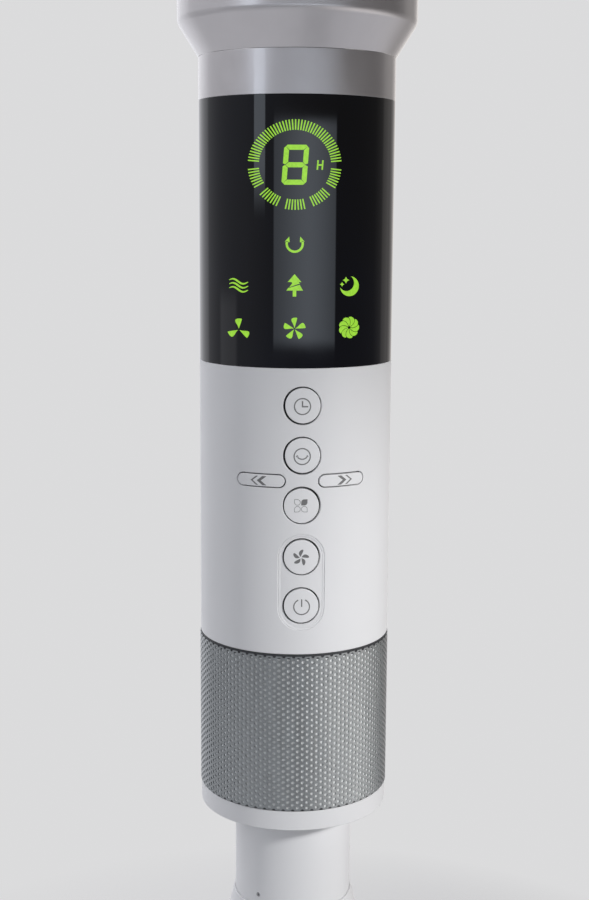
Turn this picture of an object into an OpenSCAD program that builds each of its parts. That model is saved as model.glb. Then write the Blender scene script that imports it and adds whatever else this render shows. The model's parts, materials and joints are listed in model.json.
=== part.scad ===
// Floor-standing tower fan: round weighted base, short pole, control column with a
// lit display, seven push buttons and a speaker, and a swinging tower with a
// cross-flow impeller. Millimetres, +Z up, origin on the floor at the centre of the
// base. The front of the fan, with the display and the buttons, faces -Y.

/* [Base and pole] */
// Radius of the round base
base_r = 150; // [130:5:170]
// Height of the base under the foot of its cone
base_h = 26; // [24:1:32]
// Height of the cone, from its foot to its top rim
cone_h = 104; // [80:1:140]
// Radius of the pole
pole_r = 31.5; // [29:0.5:33]
// Length of pole that shows between the cone and the column
pole_gap = 53.5; // [40:0.5:80]

/* [Column] */
// Radius of the column: display, controls and neck
column_r = 50; // [50:0.5:51]
// Height of the ring that carries the column on the pole
foot_ring_h = 10.5; // [10:0.5:14]
// Height of the speaker grille
grille_h = 84; // [80:1:100]
// Height of the control sleeve
control_h = 145.2; // [145:0.1:160]
// Height of the display window
display_h = 130.9; // [128:0.1:150]
// Height of the neck ring
neck_h = 21.2; // [21:0.1:24]

/* [Buttons] */
// Diameter of a round button cap
button_d = 17.6; // [16:0.1:17.8]
// Diameter of the hole that a round button sits in
button_hole_d = 19.1; // [19:0.1:19.4]
// Length of a track button's slot
track_slot_l = 26.1; // [24:0.1:26.1]
// Height of a track button's slot
track_slot_h = 7.1; // [6.6:0.1:7.2]
// Angle of the track buttons to each side of the front
track_angle = 24.4; // [24:0.1:25]
// Travel of every button
button_travel = 0.8; // [0.4:0.1:0.8]

/* [Tower] */
// Radius of the tower
tower_r = 60.5; // [60:0.5:64]
// Height of the flare that joins the column to the tower
flare_h = 16.4; // [14:0.2:20]
// Height of the plain wall round the motor
motor_bay_h = 58; // [58:1:70]
// Height of the two grilles
tower_grille_h = 406; // [350:1:450]
// Height of the top cap
cap_h = 24; // [20:1:30]
// Radius of the impeller
impeller_r = 42; // [38:0.5:43]
// Number of impeller blades
blade_count = 26; // [16:1:32]
// Number of outlet slots in the front grille
outlet_slots = 21; // [11:2:23]
// Distance from one intake slot to the next
intake_pitch = 8; // [7:0.5:12]

/* [Swing drive] */
// Gear module
gear_module = 1.25; // [1.25:0.05:1.25]
// Teeth of the gear on the tower's spindle
gear_teeth = 36; // [36:36:36]
// Teeth of the pinion on the swing motor
pinion_teeth = 12; // [12:12:12]

/* [Hidden] */
$fn = 96;

touch = 0.02; // play left between two fitted pieces
slide_gap = 0.08; // play of a turning fit

// Heights of the base, from the floor up.
foot_h = 3;
plate_h = 2.5;
weight_z = foot_h + plate_h;
weight_h = 9.5;
weight_r = base_r - 15;
flange_z = weight_z + weight_h;
flange_h = 5;
cone_z = base_h;
rim_z = cone_z + cone_h;

grommet_z = 11;
grommet_r = 5.5;

// Heights of the column.
column_z = rim_z + pole_gap;
grille_z = column_z + foot_ring_h;
control_z = grille_z + grille_h;
display_z = control_z + control_h;
neck_z = display_z + display_h;
neck_top_z = neck_z + neck_h;
socket_top_z = column_z + 22.5;
speaker_z = grille_z + 40;
baffle_y = 33;
driver_r = 25;
display_middle_x = -4.6;
display_ring_z = column_z + 337.4;
sleeve_wall = 2.2;
window_wall = 2;
chassis_r = column_r - 3.2;
chassis_wall = 2.5;
chassis_cut_y = 30.5;

// Heights of the button centres above the column's lower end.
power_z = column_z + 119.8;
speed_z = column_z + 145;
mode_z = column_z + 171.25;
track_z = column_z + 183.4;
swing_z = column_z + 196.3;
timer_z = column_z + 221.2;
round_button_heights = [power_z, speed_z, mode_z, swing_z, timer_z];
pocket_w = 23.4;
pocket_h = 49.6;
pocket_depth = 0.4;
button_flange_r = 10;
button_flange_y = column_r - 3.6;
button_flange_t = 1.2;
track_flange_y = column_r - 4.6;
track_flange_t = 1;
board_y = 36;
board_t = 1.6;
carrier_y = 33;
carrier_t = carrier_y - chassis_cut_y;
track_switch_x = 13;

// Outlet slots of the tower, over this many degrees.
outlet_span = 96;
slot_w = outlet_span / outlet_slots * PI / 180 * tower_r - 1.8;

// Heights of the swing drive and the tower.
deck_t = 4;
deck_z = neck_top_z - deck_t;
spindle_r = 14;
spindle_bore_r = 10.5;
bush_r = 17;
bush_flange_r = 24;
bush_flange_t = 1;
floor_z = neck_top_z + bush_flange_t + 0.3;
floor_t = 3.2;
collar_z = neck_top_z + 0.4;
shoulder_z = neck_top_z + flare_h + 0.3;
bay_top_z = shoulder_z + motor_bay_h;
tower_top_z = bay_top_z + tower_grille_h;
tower_wall = 2.5;
tower_in_r = tower_r - tower_wall;
split_angle = 80;
gear_z = deck_z - 22.3;
gear_h = 7;
pinion_h = 6.5;
centre_distance = gear_module * (gear_teeth + pinion_teeth) / 2 + 0.1;
swing_motor_r = 14;
swing_motor_y = centre_distance - 8;
swing_motor_z = gear_z - 25;
swing_motor_h = 19;
motor_r = 31;
motor_z = shoulder_z + 14;
mount_z = bay_top_z - 9;
mount_t = 3.5;
impeller_z = bay_top_z + 2;
impeller_top_z = tower_top_z - 12;
bracket_z = tower_top_z - 8;
bracket_t = 4;
shaft_r = 4;

// ---------------------------------------------------------------- helpers

// A ring from height z0 to z1.
module ring(r_out, r_in, z0, z1) {
    translate([0, 0, z0]) difference() {
        cylinder(r = r_out, h = z1 - z0);
        translate([0, 0, -1]) cylinder(r = r_in, h = z1 - z0 + 2);
    }
}

// Copies its children evenly round the Z axis.
module around(count, start = 0) {
    for (i = [0 : count - 1]) rotate([0, 0, start + i * 360 / count]) children();
}

// A cylinder that points forward, along -Y, from y = -y0 to y = -y1.
module forward_pin(r, y0, y1, x = 0, z = 0) {
    translate([x, -y0, z]) rotate([90, 0, 0]) cylinder(r = r, h = y1 - y0);
}

// A cube given by its lowest and highest corners.
module block(low, high) {
    translate(low) cube(high - low);
}

// A slab with round ends that points forward: half length l, half height h.
module forward_slab(l, h, y0, y1) {
    block([-(l - h), -y1, -h], [l - h, -y0, h]);
    for (side = [-1, 1]) forward_pin(h, y0, y1, side * (l - h));
}

// A wedge between two angles, measured from the front (-Y) towards +X.
module wedge(a0, a1, r, z0, z1) {
    steps = 8;
    translate([0, 0, z0]) linear_extrude(z1 - z0) polygon(concat([[0, 0]], [
        for (i = [0 : steps])
            let (a = a0 + (a1 - a0) * i / steps)
            r * [sin(a), -cos(a)]
    ]));
}

function bezier(a, b, c, d, t) =
    pow(1 - t, 3) * a + 3 * pow(1 - t, 2) * t * b + 3 * (1 - t) * t * t * c + pow(t, 3) * d;

function arc(centre, r, a0, a1, steps) =
    [for (i = [0 : steps]) let (a = a0 + (a1 - a0) * i / steps) centre + r * [cos(a), sin(a)]];

// ---------------------------------------------------------------- base and pole

module rubber_feet() {
    color("dimgray") around(6) translate([base_r - 20, 0, 0]) cylinder(r = 9, h = foot_h);
}

module base_bottom_plate() {
    color("gainsboro") translate([0, 0, foot_h]) cylinder(r = base_r - 3.5, h = plate_h);
}

module base_weight() {
    color("slategray") difference() {
        translate([0, 0, weight_z]) cylinder(r = weight_r, h = weight_h);
        flange_bolt_holes(3 + touch, weight_z - 1, flange_z + 1);
    }
}

module flange_bolt_holes(r, z0, z1) {
    around(4, 45) translate([44, 0, z0]) cylinder(r = r, h = z1 - z0);
}

module base_cover() {
    round_r = 8;
    color("white") difference() {
        rotate_extrude() polygon(concat(
            [[base_r - 3, foot_h + 0.5], [base_r, foot_h + 0.5]],
            arc([base_r - round_r, base_h - 12], round_r, 0, 82, 6),
            [[86, base_h], [60, base_h], [60, base_h - 3], [86, base_h - 3]],
            [[base_r - round_r, base_h - 7.5], [base_r - 3, base_h - 12.5]]
        ));
        translate([0, base_r - 20, grommet_z]) rotate([-90, 0, 0])
            cylinder(r = grommet_r + touch, h = 30);
    }
}

module cord_grommet() {
    length = 9;
    color("darkgray") translate([0, base_r - length - 0.3, grommet_z]) rotate([-90, 0, 0])
        difference() {
            cylinder(r = grommet_r, h = length);
            translate([0, 0, length - 0.8]) ring(grommet_r - 1.2, grommet_r - 2, 0, 2);
        }
}

module base_cone() {
    foot_r = 80;
    rim_r = pole_r + 0.9;
    steps = 12;
    outer = [for (i = [0 : steps]) bezier(
        [foot_r, cone_z], [48, cone_z + 6], [rim_r + 11.2, rim_z - 45], [rim_r, rim_z], i / steps)];
    inner = [for (i = [0 : steps]) bezier(
        [foot_r - 5, cone_z], [44, cone_z + 5], [rim_r + 8.5, rim_z - 48],
        [pole_r + 0.2, rim_z], 1 - i / steps)];
    color("white") rotate_extrude() polygon(concat(outer, inner));
}

// The set screw stands just above the cone's rim, to the left of the front.
module set_screw_place() {
    rotate([0, 0, -40]) translate([0, -pole_r + 4, rim_z + 6]) rotate([90, 0, 0]) children();
}

module pole_set_screw() {
    color("dimgray") set_screw_place() difference() {
        cylinder(r = 1.2, h = 3.8);
        translate([0, 0, 2.6]) cylinder(r = 0.6, h = 2, $fn = 6);
    }
}

module pole() {
    color("white") difference() {
        ring(pole_r, pole_r - 1.5, flange_z + flange_h, socket_top_z);
        set_screw_place() cylinder(r = 1.2 + touch, h = 12);
        clamp_screw_places() cylinder(r = 2 + touch, h = 12);
    }
}

module pole_flange() {
    color("slategray") difference() {
        union() {
            translate([0, 0, flange_z]) cylinder(r = 55, h = flange_h);
            ring(pole_r - 1.5 - touch, pole_r - 5, flange_z + flange_h, flange_z + 30);
        }
        flange_bolt_holes(3 + touch, flange_z - 1, flange_z + flange_h + 1);
    }
}

module flange_bolts() {
    color("silver") around(4, 45) translate([44, 0, 0]) {
        translate([0, 0, weight_z + 1]) cylinder(r = 3, h = flange_z + flange_h - weight_z - 1);
        translate([0, 0, flange_z + flange_h]) cylinder(r = 5.4, h = 3.5, $fn = 6);
    }
}

// ---------------------------------------------------------------- speaker section

module clamp_screw_places() {
    around(3, 60) translate([0, -pole_r + 4.5, column_z + 16]) rotate([90, 0, 0]) children();
}

module foot_ring() {
    ring_r = column_r;
    color("white") difference() {
        rotate_extrude() polygon(concat(
            [[pole_r + 0.2, column_z]],
            arc([ring_r - 1.5, column_z + 1.5], 1.5, -90, 0, 4),
            [[ring_r, grille_z], [ring_r - 2, grille_z], [ring_r - 2, column_z + 3]],
            [[pole_r + 4.5, column_z + 3], [pole_r + 4.5, socket_top_z]],
            [[pole_r + 0.2, socket_top_z]]
        ));
        clamp_screw_places() cylinder(r = 2 + touch, h = 12);
    }
}

module clamp_screws() {
    color("silver") clamp_screw_places() {
        cylinder(r = 2, h = 4.5);
        translate([0, 0, 4.5]) cylinder(r = 2, h = 4.5);
        translate([0, 0, 9]) cylinder(r = 3.4, h = 2);
    }
}

module speaker_frame() {
    frame_r = column_r - 2.4;
    color("whitesmoke") difference() {
        union() {
            ring(frame_r, frame_r - 2, column_z + 3, control_z - 2.5);
            ring(column_r - 1.6, 40, control_z - 2.5, control_z);
            intersection() {
                translate([0, 0, socket_top_z + 1])
                    cylinder(r = frame_r - 1, h = control_z - socket_top_z - 3);
                union() for (side = [-1, 1])
                    block([-45, side * (baffle_y + 1.5) - 1.5, socket_top_z + 1],
                        [45, side * (baffle_y + 1.5) + 1.5, control_z - 2]);
            }
        }
        forward_pin(driver_r, -60, 60, 0, speaker_z);
        for (side = [-1, 1]) translate([side * 40, 0, speaker_z]) rotate([0, side * 90, 0])
            cylinder(r = 20, h = 20);
    }
}

module grille_cloth() {
    color("white") ring(column_r - 1.1, column_r - 1.5, grille_z + 0.3, control_z - 0.5);
}

module speaker_grille() {
    color("silver") ring(column_r + 0.4, column_r - 0.5, grille_z + 0.1, control_z - 0.3);
}

// The driver faces forward. Its profiles are turned about its own axis.
module speaker_place(depth) {
    translate([0, -depth, speaker_z]) rotate([-90, 0, 0]) children();
}

module speaker_basket() {
    color("dimgray") speaker_place(baffle_y + 3) rotate_extrude() polygon([
        [driver_r - 5, 0], [driver_r - 0.3, 0], [driver_r - 0.3, 3], [16, 19], [16, 21],
        [9, 21], [9, 19], [14, 18.5], [driver_r - 5, 3],
    ]);
}

module speaker_cone() {
    color("black") speaker_place(baffle_y + 3.4) rotate_extrude() polygon(concat(
        [[driver_r - 5.4, 0.2], [driver_r - 5.4, 1], [7, 12], [0, 12], [0, 8]],
        arc([0, 13], 5, 90 - 180, -40, 4), [[8, 10], [driver_r - 7, 0.2]]
    ));
}

module speaker_magnet() {
    color("slategray") speaker_place(baffle_y - 18.1) {
        cylinder(r = 17, h = 9);
        cylinder(r = 8, h = 11);
    }
}

module passive_radiator() {
    color("black") translate([0, baffle_y + 0.2, speaker_z]) rotate([-90, 0, 0]) {
        cylinder(r = driver_r - 0.3, h = 1.6);
        cylinder(r = 12, h = 4);
    }
}

// ---------------------------------------------------------------- controls

// A track button's frame: local -Y points out of the column at the given side.
module track_place(side) {
    rotate([0, 0, side * track_angle]) translate([0, 0, track_z]) children();
}

module control_sleeve() {
    color("white") difference() {
        ring(column_r, column_r - sleeve_wall, control_z, display_z);
        intersection() {
            ring(column_r + 5, column_r - pocket_depth, control_z, display_z);
            upright_slab(pocket_w / 2, pocket_h / 2, (speed_z + power_z) / 2 - 0.6);
        }
        for (z = round_button_heights)
            forward_pin(button_hole_d / 2, 40, column_r + 5, 0, z);
        for (side = [-1, 1]) track_place(side)
            forward_slab(track_slot_l / 2, track_slot_h / 2, 40, column_r + 5);
    }
}

// An upright slab with round ends that points forward.
module upright_slab(half_w, half_h, z) {
    block([-half_w, -column_r - 5, z - half_h + half_w], [half_w, -40, z + half_h - half_w]);
    for (side = [-1, 1])
        forward_pin(half_w, 40, column_r + 5, 0, z + side * (half_h - half_w));
}

module chassis() {
    z0 = control_z + 0.1;
    color("gray") difference() {
        union() {
            ring(chassis_r, chassis_r - chassis_wall, z0, deck_z);
            intersection() {
                cylinder(r = chassis_r - 1, h = 2 * neck_z);
                for (side = [-1, 1]) {
                    block([side * 40 - 4.5, 16, control_z + 8], [side * 40 + 4.5, 20, display_z + 60]);
                    block([side * 37 - 4, -30, z0], [side * 37 + 4, -26, neck_z - 2]);
                }
            }
        }
        block([-60, -60, z0 - 1], [60, -chassis_cut_y, neck_top_z]);
    }
}

module board_carrier() {
    color("gainsboro") {
        block([-33, -carrier_y, control_z + 3], [33, -chassis_cut_y, neck_z - 3]);
        for (x = [-20, 20], z = [control_z + 8, display_z - 8])
            forward_pin(3, carrier_y - 0.5, board_y - board_t, x, z);
        for (x = [-20, 20], z = [display_z + 8, neck_z - 8])
            forward_pin(3, carrier_y - 0.5, board_y - board_t, x, z);
    }
}

module button_board() {
    color("darkgreen") block([-24, -board_y, control_z + 4], [24, -board_y + board_t, display_z - 3]);
}

module button_switches() {
    color("dimgray") {
        for (z = round_button_heights) {
            block([-3, -board_y - 3.5, z - 3], [3, -board_y, z + 3]);
            forward_pin(1.7, board_y + 3, board_y + 4.3, 0, z);
        }
        for (side = [-1, 1]) {
            block([side * track_switch_x - 2.5, -board_y - 2, track_z - 2.5],
                [side * track_switch_x + 2.5, -board_y, track_z + 2.5]);
            forward_pin(1.2, board_y + 1.5, board_y + 2.7, side * track_switch_x, track_z);
        }
    }
}

// A round button: cap, flange behind the sleeve and stem. Its face follows the column.
module round_button(z) {
    translate([0, 0, z]) {
        intersection() {
            forward_pin(button_d / 2, button_flange_y - 0.5, column_r + 4);
            translate([0, 0, -20]) cylinder(r = column_r + 0.15, h = 40);
        }
        forward_pin(button_flange_r, button_flange_y - button_flange_t, button_flange_y);
        forward_pin(2.4, board_y + 4.3 + 0.3 + button_travel, button_flange_y - button_flange_t + 0.5);
    }
}

module timer_button() color("white") round_button(timer_z);
module swing_button() color("white") round_button(swing_z);
module mode_button() color("white") round_button(mode_z);
module speed_button() color("white") round_button(speed_z);
module power_button() color("white") round_button(power_z);

module track_button(side) {
    play = 0.6;
    back = track_flange_y - track_flange_t;
    color("white") track_place(side) {
        intersection() {
            forward_slab(track_slot_l / 2 - play, track_slot_h / 2 - play,
                track_flange_y - 0.5, column_r + 4);
            translate([0, 0, -20]) cylinder(r = column_r + 0.15, h = 40);
        }
        forward_slab(track_slot_l / 2 + 0.8, track_slot_h / 2 + 0.8, back, track_flange_y);
        forward_pin(1.5, back - 2.2, back + 0.5, -side * 5.3);
    }
}

module previous_button() track_button(-1);
module next_button() track_button(1);

module main_board() {
    color("darkgreen") block([-38, 20, control_z + 10], [38, 21.6, display_z + 55]);
}

module mains_transformer() {
    color("khaki") {
        block([-16, 4, control_z + 16], [16, 20, control_z + 50]);
        translate([-9, 10, control_z + 66]) cylinder(r = 5, h = 20);
        block([-9 - 1.5, 9, control_z + 68], [-9 + 1.5, 20, control_z + 82]);
        block([4, 8, control_z + 66], [22, 20, control_z + 84]);
    }
}

// ---------------------------------------------------------------- display

module display_window() {
    color("black") ring(column_r, column_r - window_wall, display_z, neck_z);
}

module display_board() {
    color("darkgreen") block([-30, -board_y, display_z + 4], [30, -board_y + board_t, neck_z - 4]);
}

module display_light_box() {
    front_r = column_r - window_wall - 0.5;
    color("whitesmoke") difference() {
        intersection() {
            translate([0, 0, display_z + 6]) cylinder(r = front_r, h = neck_z - display_z - 12);
            block([-30, -60, display_z], [30, -board_y, neck_z]);
        }
        for (row = [0, 1], side = [-26.6, 0, 26.6])
            forward_pin(6.6, board_y + 0.8, 60, side + (side == 0 ? display_middle_x : 0),
                column_z + 259.2 + 20.9 * row);
        translate([display_middle_x, 0, display_ring_z - 36])
            block([-6, -60, -5], [6, -board_y - 0.8, 6]);
        difference() {
            forward_pin(23.5, board_y + 0.8, 60, display_middle_x, display_ring_z);
            forward_pin(16.5, board_y, 61, display_middle_x, display_ring_z);
        }
        translate([display_middle_x, 0, display_ring_z])
            block([-8, -60, -11], [9, -board_y - 0.8, 11]);
    }
}

// ---------------------------------------------------------------- neck and swing drive

module neck_ring() {
    color("white") {
        ring(column_r, column_r - 2.5, neck_z, neck_top_z - 0.8);
        rotate_extrude() polygon([
            [bush_r + touch, neck_top_z], [column_r - 0.8, neck_top_z],
            [column_r, neck_top_z - 0.8], [column_r - 2.5, deck_z],
            [bush_r + 5, deck_z], [bush_r + 5, deck_z - 10], [bush_r + touch, deck_z - 10],
        ]);
    }
}

module swing_bushing() {
    color("khaki") {
        ring(bush_r, spindle_r + slide_gap, deck_z - 11, neck_top_z + 0.5);
        ring(bush_flange_r, spindle_r + slide_gap, neck_top_z + touch, neck_top_z + bush_flange_t);
    }
}

module swing_motor() {
    color("silver") {
        translate([0, swing_motor_y, swing_motor_z]) cylinder(r = swing_motor_r, h = swing_motor_h);
        translate([0, centre_distance, swing_motor_z + swing_motor_h - 1]) cylinder(r = 3.8, h = 2.2);
        block([-7.3, swing_motor_y - 17, swing_motor_z + 2],
            [7.3, swing_motor_y - 8, swing_motor_z + swing_motor_h - 2]);
    }
}

module swing_bracket() {
    plate_top = gear_z - 3.2;
    plate_z = swing_motor_z + swing_motor_h + touch;
    color("slategray") {
        difference() {
            intersection() {
                translate([0, 0, plate_z]) cylinder(r = 44, h = plate_top - plate_z);
                block([-24, 15, plate_z - 1], [24, 60, plate_top + 1]);
            }
            translate([0, 0, plate_z - 1]) cylinder(r = 21, h = 20);
            translate([0, centre_distance, plate_z - 1]) cylinder(r = 4, h = 20);
        }
        for (x = [-19, 19]) translate([x, 35, plate_z + 0.5])
            cylinder(r = 3, h = deck_z - plate_z - 0.5);
    }
}

function involute(r, t) = r * [cos(t) + t * PI / 180 * sin(t), sin(t) - t * PI / 180 * cos(t)];
function turned(p, a) = [p[0] * cos(a) - p[1] * sin(a), p[0] * sin(a) + p[1] * cos(a)];

// A spur gear's outline: 20 degree teeth, thinned by the backlash, with short tips.
module gear_outline(teeth, backlash) {
    pitch_r = gear_module * teeth / 2;
    flank_r = pitch_r * cos(20);
    tip_r = pitch_r + 0.85 * gear_module;
    root_r = pitch_r - 1.15 * gear_module;
    function roll(r) = sqrt(max(0, r * r / (flank_r * flank_r) - 1)) * 180 / PI;
    function swept(r) = let (p = involute(flank_r, roll(r))) atan2(p[1], p[0]);
    half = 90 / teeth - backlash / pitch_r * 90 / PI + swept(pitch_r);
    low_r = max(flank_r, root_r);
    steps = 3;
    flank = [for (i = [0 : steps]) let (r = low_r + (tip_r - low_r) * i / steps)
        turned(involute(flank_r, roll(r)), -half)];
    mirrored = [for (i = [steps : -1 : 0]) [flank[i][0], -flank[i][1]]];
    tooth = concat([root_r * [cos(half), -sin(half)]], flank, mirrored,
        [root_r * [cos(half), sin(half)]]);
    polygon([for (n = [0 : teeth - 1], p = tooth) turned(p, n * 360 / teeth)]);
}

module swing_pinion() {
    color("ivory") translate([0, centre_distance, gear_z]) {
        translate([0, 0, -4.4]) cylinder(r = 2.5, h = 4.4 + pinion_h);
        translate([0, 0, -1.4]) cylinder(r = 4.6, h = 2);
        rotate([0, 0, 180 / pinion_teeth - 90])
            linear_extrude(pinion_h) gear_outline(pinion_teeth, 0.35);
    }
}

module swing_gear() {
    color("ivory") translate([0, 0, gear_z]) difference() {
        rotate([0, 0, 90]) linear_extrude(gear_h) gear_outline(gear_teeth, 0.35);
        translate([0, 0, -1]) cylinder(r = spindle_r + touch, h = gear_h + 2);
    }
}

module head_spindle() {
    color("silver") {
        ring(spindle_r, spindle_bore_r, gear_z - 2.6, floor_z + floor_t + 0.5);
        ring(spindle_r + 12, spindle_bore_r, floor_z + floor_t + touch, floor_z + floor_t + 3);
    }
}

module spindle_clip() {
    color("silver") ring(spindle_r + 3, spindle_r + touch, gear_z - 1.6, gear_z - touch);
}

module motor_cable() {
    color("black") {
        translate([0, 0, gear_z - 32]) cylinder(r = 3, h = motor_z - gear_z + 32 - touch);
        translate([0, 0, gear_z - 36]) cylinder(r = 5, h = 9);
    }
}

// ---------------------------------------------------------------- tower

module head_collar() {
    inner_r = spindle_r + touch;
    color("white") rotate_extrude() polygon([
        [inner_r, floor_z], [bush_flange_r + 2, floor_z], [column_r - 0.8, collar_z],
        [column_r, collar_z + 0.6], [tower_r - 0.8, shoulder_z - 1.2],
        [tower_r, shoulder_z + 0.6], [tower_r, bay_top_z],
        [tower_in_r, bay_top_z], [tower_in_r, shoulder_z + 1.5],
        [column_r - 3, floor_z + floor_t], [inner_r, floor_z + floor_t],
    ]);
}

module motor_mount() {
    color("slategray") difference() {
        union() {
            ring(tower_in_r - touch, shaft_r + 8, mount_z, mount_z + mount_t);
            around(4, 45) translate([motor_r + 4, 0, floor_z + floor_t])
                cylinder(r = 2.5, h = mount_z - floor_z - floor_t + 0.5);
        }
        around(3, 15) translate([motor_r + 16, 0, mount_z - 1]) cylinder(r = 6, h = mount_t + 2);
    }
}

module motor_can() {
    color("silver") {
        ring(motor_r, motor_r - 1.2, motor_z, mount_z - touch);
        ring(motor_r - 1, 8.5, motor_z, motor_z + 1.5);
        ring(motor_r - 1, 8.5, mount_z - 1.5, mount_z - touch);
    }
}

module motor_windings() {
    color("chocolate") {
        ring(motor_r - 1.3, 18.5, motor_z + 9, mount_z - 9);
        ring(motor_r - 4, 20, motor_z + 4, motor_z + 9.1);
        ring(motor_r - 4, 20, mount_z - 9.1, mount_z - 4);
    }
}

module motor_bearings() {
    color("goldenrod") for (z = [motor_z + 0.2, mount_z - 5.2])
        ring(8.5 - touch, shaft_r + slide_gap, z, z + 5);
}

module motor_rotor() {
    color("dimgray") ring(18, shaft_r + touch, motor_z + 8, mount_z - 8);
}

module motor_shaft() {
    color("silver") translate([0, 0, motor_z + 0.4])
        cylinder(r = shaft_r, h = bracket_z + bracket_t + 1.5 - motor_z - 0.4);
}

module impeller() {
    discs = 4;
    inner_r = impeller_r - 13;
    length = impeller_top_z - impeller_z;
    steps = 4;
    // A blade's section: a curved strip that leans forward at its outer edge.
    function mid(i, offset) =
        let (t = i / steps, r = inner_r + 0.6 + (impeller_r - inner_r - 1) * t, a = 13 * t * t)
        [r * cos(a) - offset * sin(a + 18 * t), r * sin(a) + offset * cos(a + 18 * t)];
    section = concat([for (i = [0 : steps]) mid(i, 0.55)],
        [for (i = [steps : -1 : 0]) mid(i, -0.55)]);
    color("lightgray") {
        for (i = [0 : discs]) let (z = impeller_z + (length - 2.5) * i / discs)
            if (i == 0 || i == discs) ring(impeller_r, shaft_r + touch, z, z + 2.5);
            else ring(impeller_r, inner_r - 1, z, z + 2.5);
        ring(9, shaft_r + touch, impeller_z, impeller_z + 12);
        ring(9, shaft_r + touch, impeller_top_z - 12, impeller_top_z);
        around(blade_count) translate([0, 0, impeller_z + 1])
            linear_extrude(length - 2) polygon(section);
    }
}

// An upright curved wall: radii r0 and r1 at angles a0 and a1 from the front.
module curved_wall(a0, a1, r0, r1, thick, z0, z1) {
    steps = 12;
    path = [for (i = [0 : steps]) [a0 + (a1 - a0) * i / steps, r0 + (r1 - r0) * i / steps]];
    translate([0, 0, z0]) linear_extrude(z1 - z0) polygon(concat(
        [for (p = path) p[1] * [sin(p[0]), -cos(p[0])]],
        [for (i = [steps : -1 : 0]) (path[i][1] + thick) * [sin(path[i][0]), -cos(path[i][0])]]));
}

module air_scroll() {
    color("gray") curved_wall(48, 138, tower_in_r - 2.4, impeller_r + 2.2, 2.2,
        mount_z + mount_t, bracket_z);
}

module air_tongue() {
    color("gray") {
        curved_wall(-56, -84, impeller_r + 1.6, impeller_r + 3, 2, mount_z + mount_t, bracket_z);
        rotate([0, 0, -80]) block([-1.2, -tower_in_r + 0.05, mount_z + mount_t],
            [1.2, -impeller_r - 3.8, bracket_z]);
    }
}

module top_bracket() {
    color("slategray") difference() {
        union() {
            translate([0, 0, bracket_z]) cylinder(r = tower_in_r - touch, h = bracket_t);
            translate([0, 0, bracket_z]) cylinder(r = 13, h = 8.5);
        }
        translate([0, 0, bracket_z - 1]) cylinder(r = 8.5, h = 12);
    }
}

module top_bearing() {
    color("goldenrod") ring(8.5 - touch, shaft_r + slide_gap, bracket_z + 0.5, bracket_z + 5.5);
}

module front_grille() {
    half = outlet_span / 2;
    bands = 4;
    band_h = (tower_grille_h - 10) / bands;
    color("white") difference() {
        intersection() {
            ring(tower_r, tower_in_r, bay_top_z + touch, tower_top_z - touch);
            wedge(-split_angle, split_angle, 2 * tower_r, bay_top_z, tower_top_z);
        }
        for (b = [0 : bands - 1], i = [0 : outlet_slots - 1])
            let (a = -half + outlet_span * (i + 0.5) / outlet_slots)
            rotate([0, 0, a]) block(
                [-slot_w / 2, -tower_r - 5, bay_top_z + 8 + b * band_h],
                [slot_w / 2, -tower_in_r + 8, bay_top_z + 8 + (b + 1) * band_h - 6]);
    }
}

module rear_housing() {
    count = floor((tower_grille_h - 16) / intake_pitch);
    color("white") difference() {
        intersection() {
            ring(tower_r, tower_in_r, bay_top_z + touch, tower_top_z - touch);
            rotate([0, 0, 180])
                wedge(-179.9 + split_angle, 179.9 - split_angle, 2 * tower_r, bay_top_z, tower_top_z);
        }
        for (i = [0 : count - 1], a = [-46, 0, 46])
            rotate([0, 0, 180 + a]) wedge(-21, 21, 2 * tower_r,
                bay_top_z + 10 + i * intake_pitch, bay_top_z + 10 + i * intake_pitch + 3.6);
    }
}

module top_cap() {
    color("white") rotate_extrude() polygon(concat(
        [[0, tower_top_z + cap_h - 3], [0, tower_top_z + cap_h]],
        [for (i = [4 : -1 : 0]) [tower_r - 6 + 6 * cos(90 * i / 4), tower_top_z + cap_h - 6 + 6 * sin(90 * i / 4)]],
        [[tower_r, tower_top_z + touch], [tower_in_r - touch, tower_top_z + touch],
         [tower_in_r - touch, tower_top_z - 3.8], [tower_in_r - 2.5, tower_top_z - 3.8],
         [tower_in_r - 2.5, tower_top_z + cap_h - 6], [tower_in_r - 6, tower_top_z + cap_h - 3]]));
}

// ---------------------------------------------------------------- nodes

rubber_feet();
base_bottom_plate();
base_weight();
base_cover();
cord_grommet();
base_cone();
pole();
pole_flange();
flange_bolts();
pole_set_screw();
foot_ring();
clamp_screws();
speaker_frame();
grille_cloth();
speaker_grille();
speaker_basket();
speaker_cone();
speaker_magnet();
passive_radiator();
control_sleeve();
chassis();
board_carrier();
button_board();
button_switches();
timer_button();
swing_button();
mode_button();
speed_button();
power_button();
previous_button();
next_button();
main_board();
mains_transformer();
display_window();
display_board();
display_light_box();
neck_ring();
swing_bushing();
swing_motor();
swing_bracket();
swing_pinion();
swing_gear();
head_spindle();
spindle_clip();
motor_cable();
head_collar();
motor_mount();
motor_can();
motor_windings();
motor_bearings();
motor_rotor();
motor_shaft();
impeller();
air_scroll();
air_tongue();
top_bracket();
top_bearing();
front_grille();
rear_housing();
top_cap();
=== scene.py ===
"""Looks of a slim tower fan, laid out as a Blender add-on and run as a script.

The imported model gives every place. Meshes are shaped in millimetres and become metres when they
turn into pieces. The front of the fan faces -Y and the column stands on the Z axis.
"""

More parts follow.
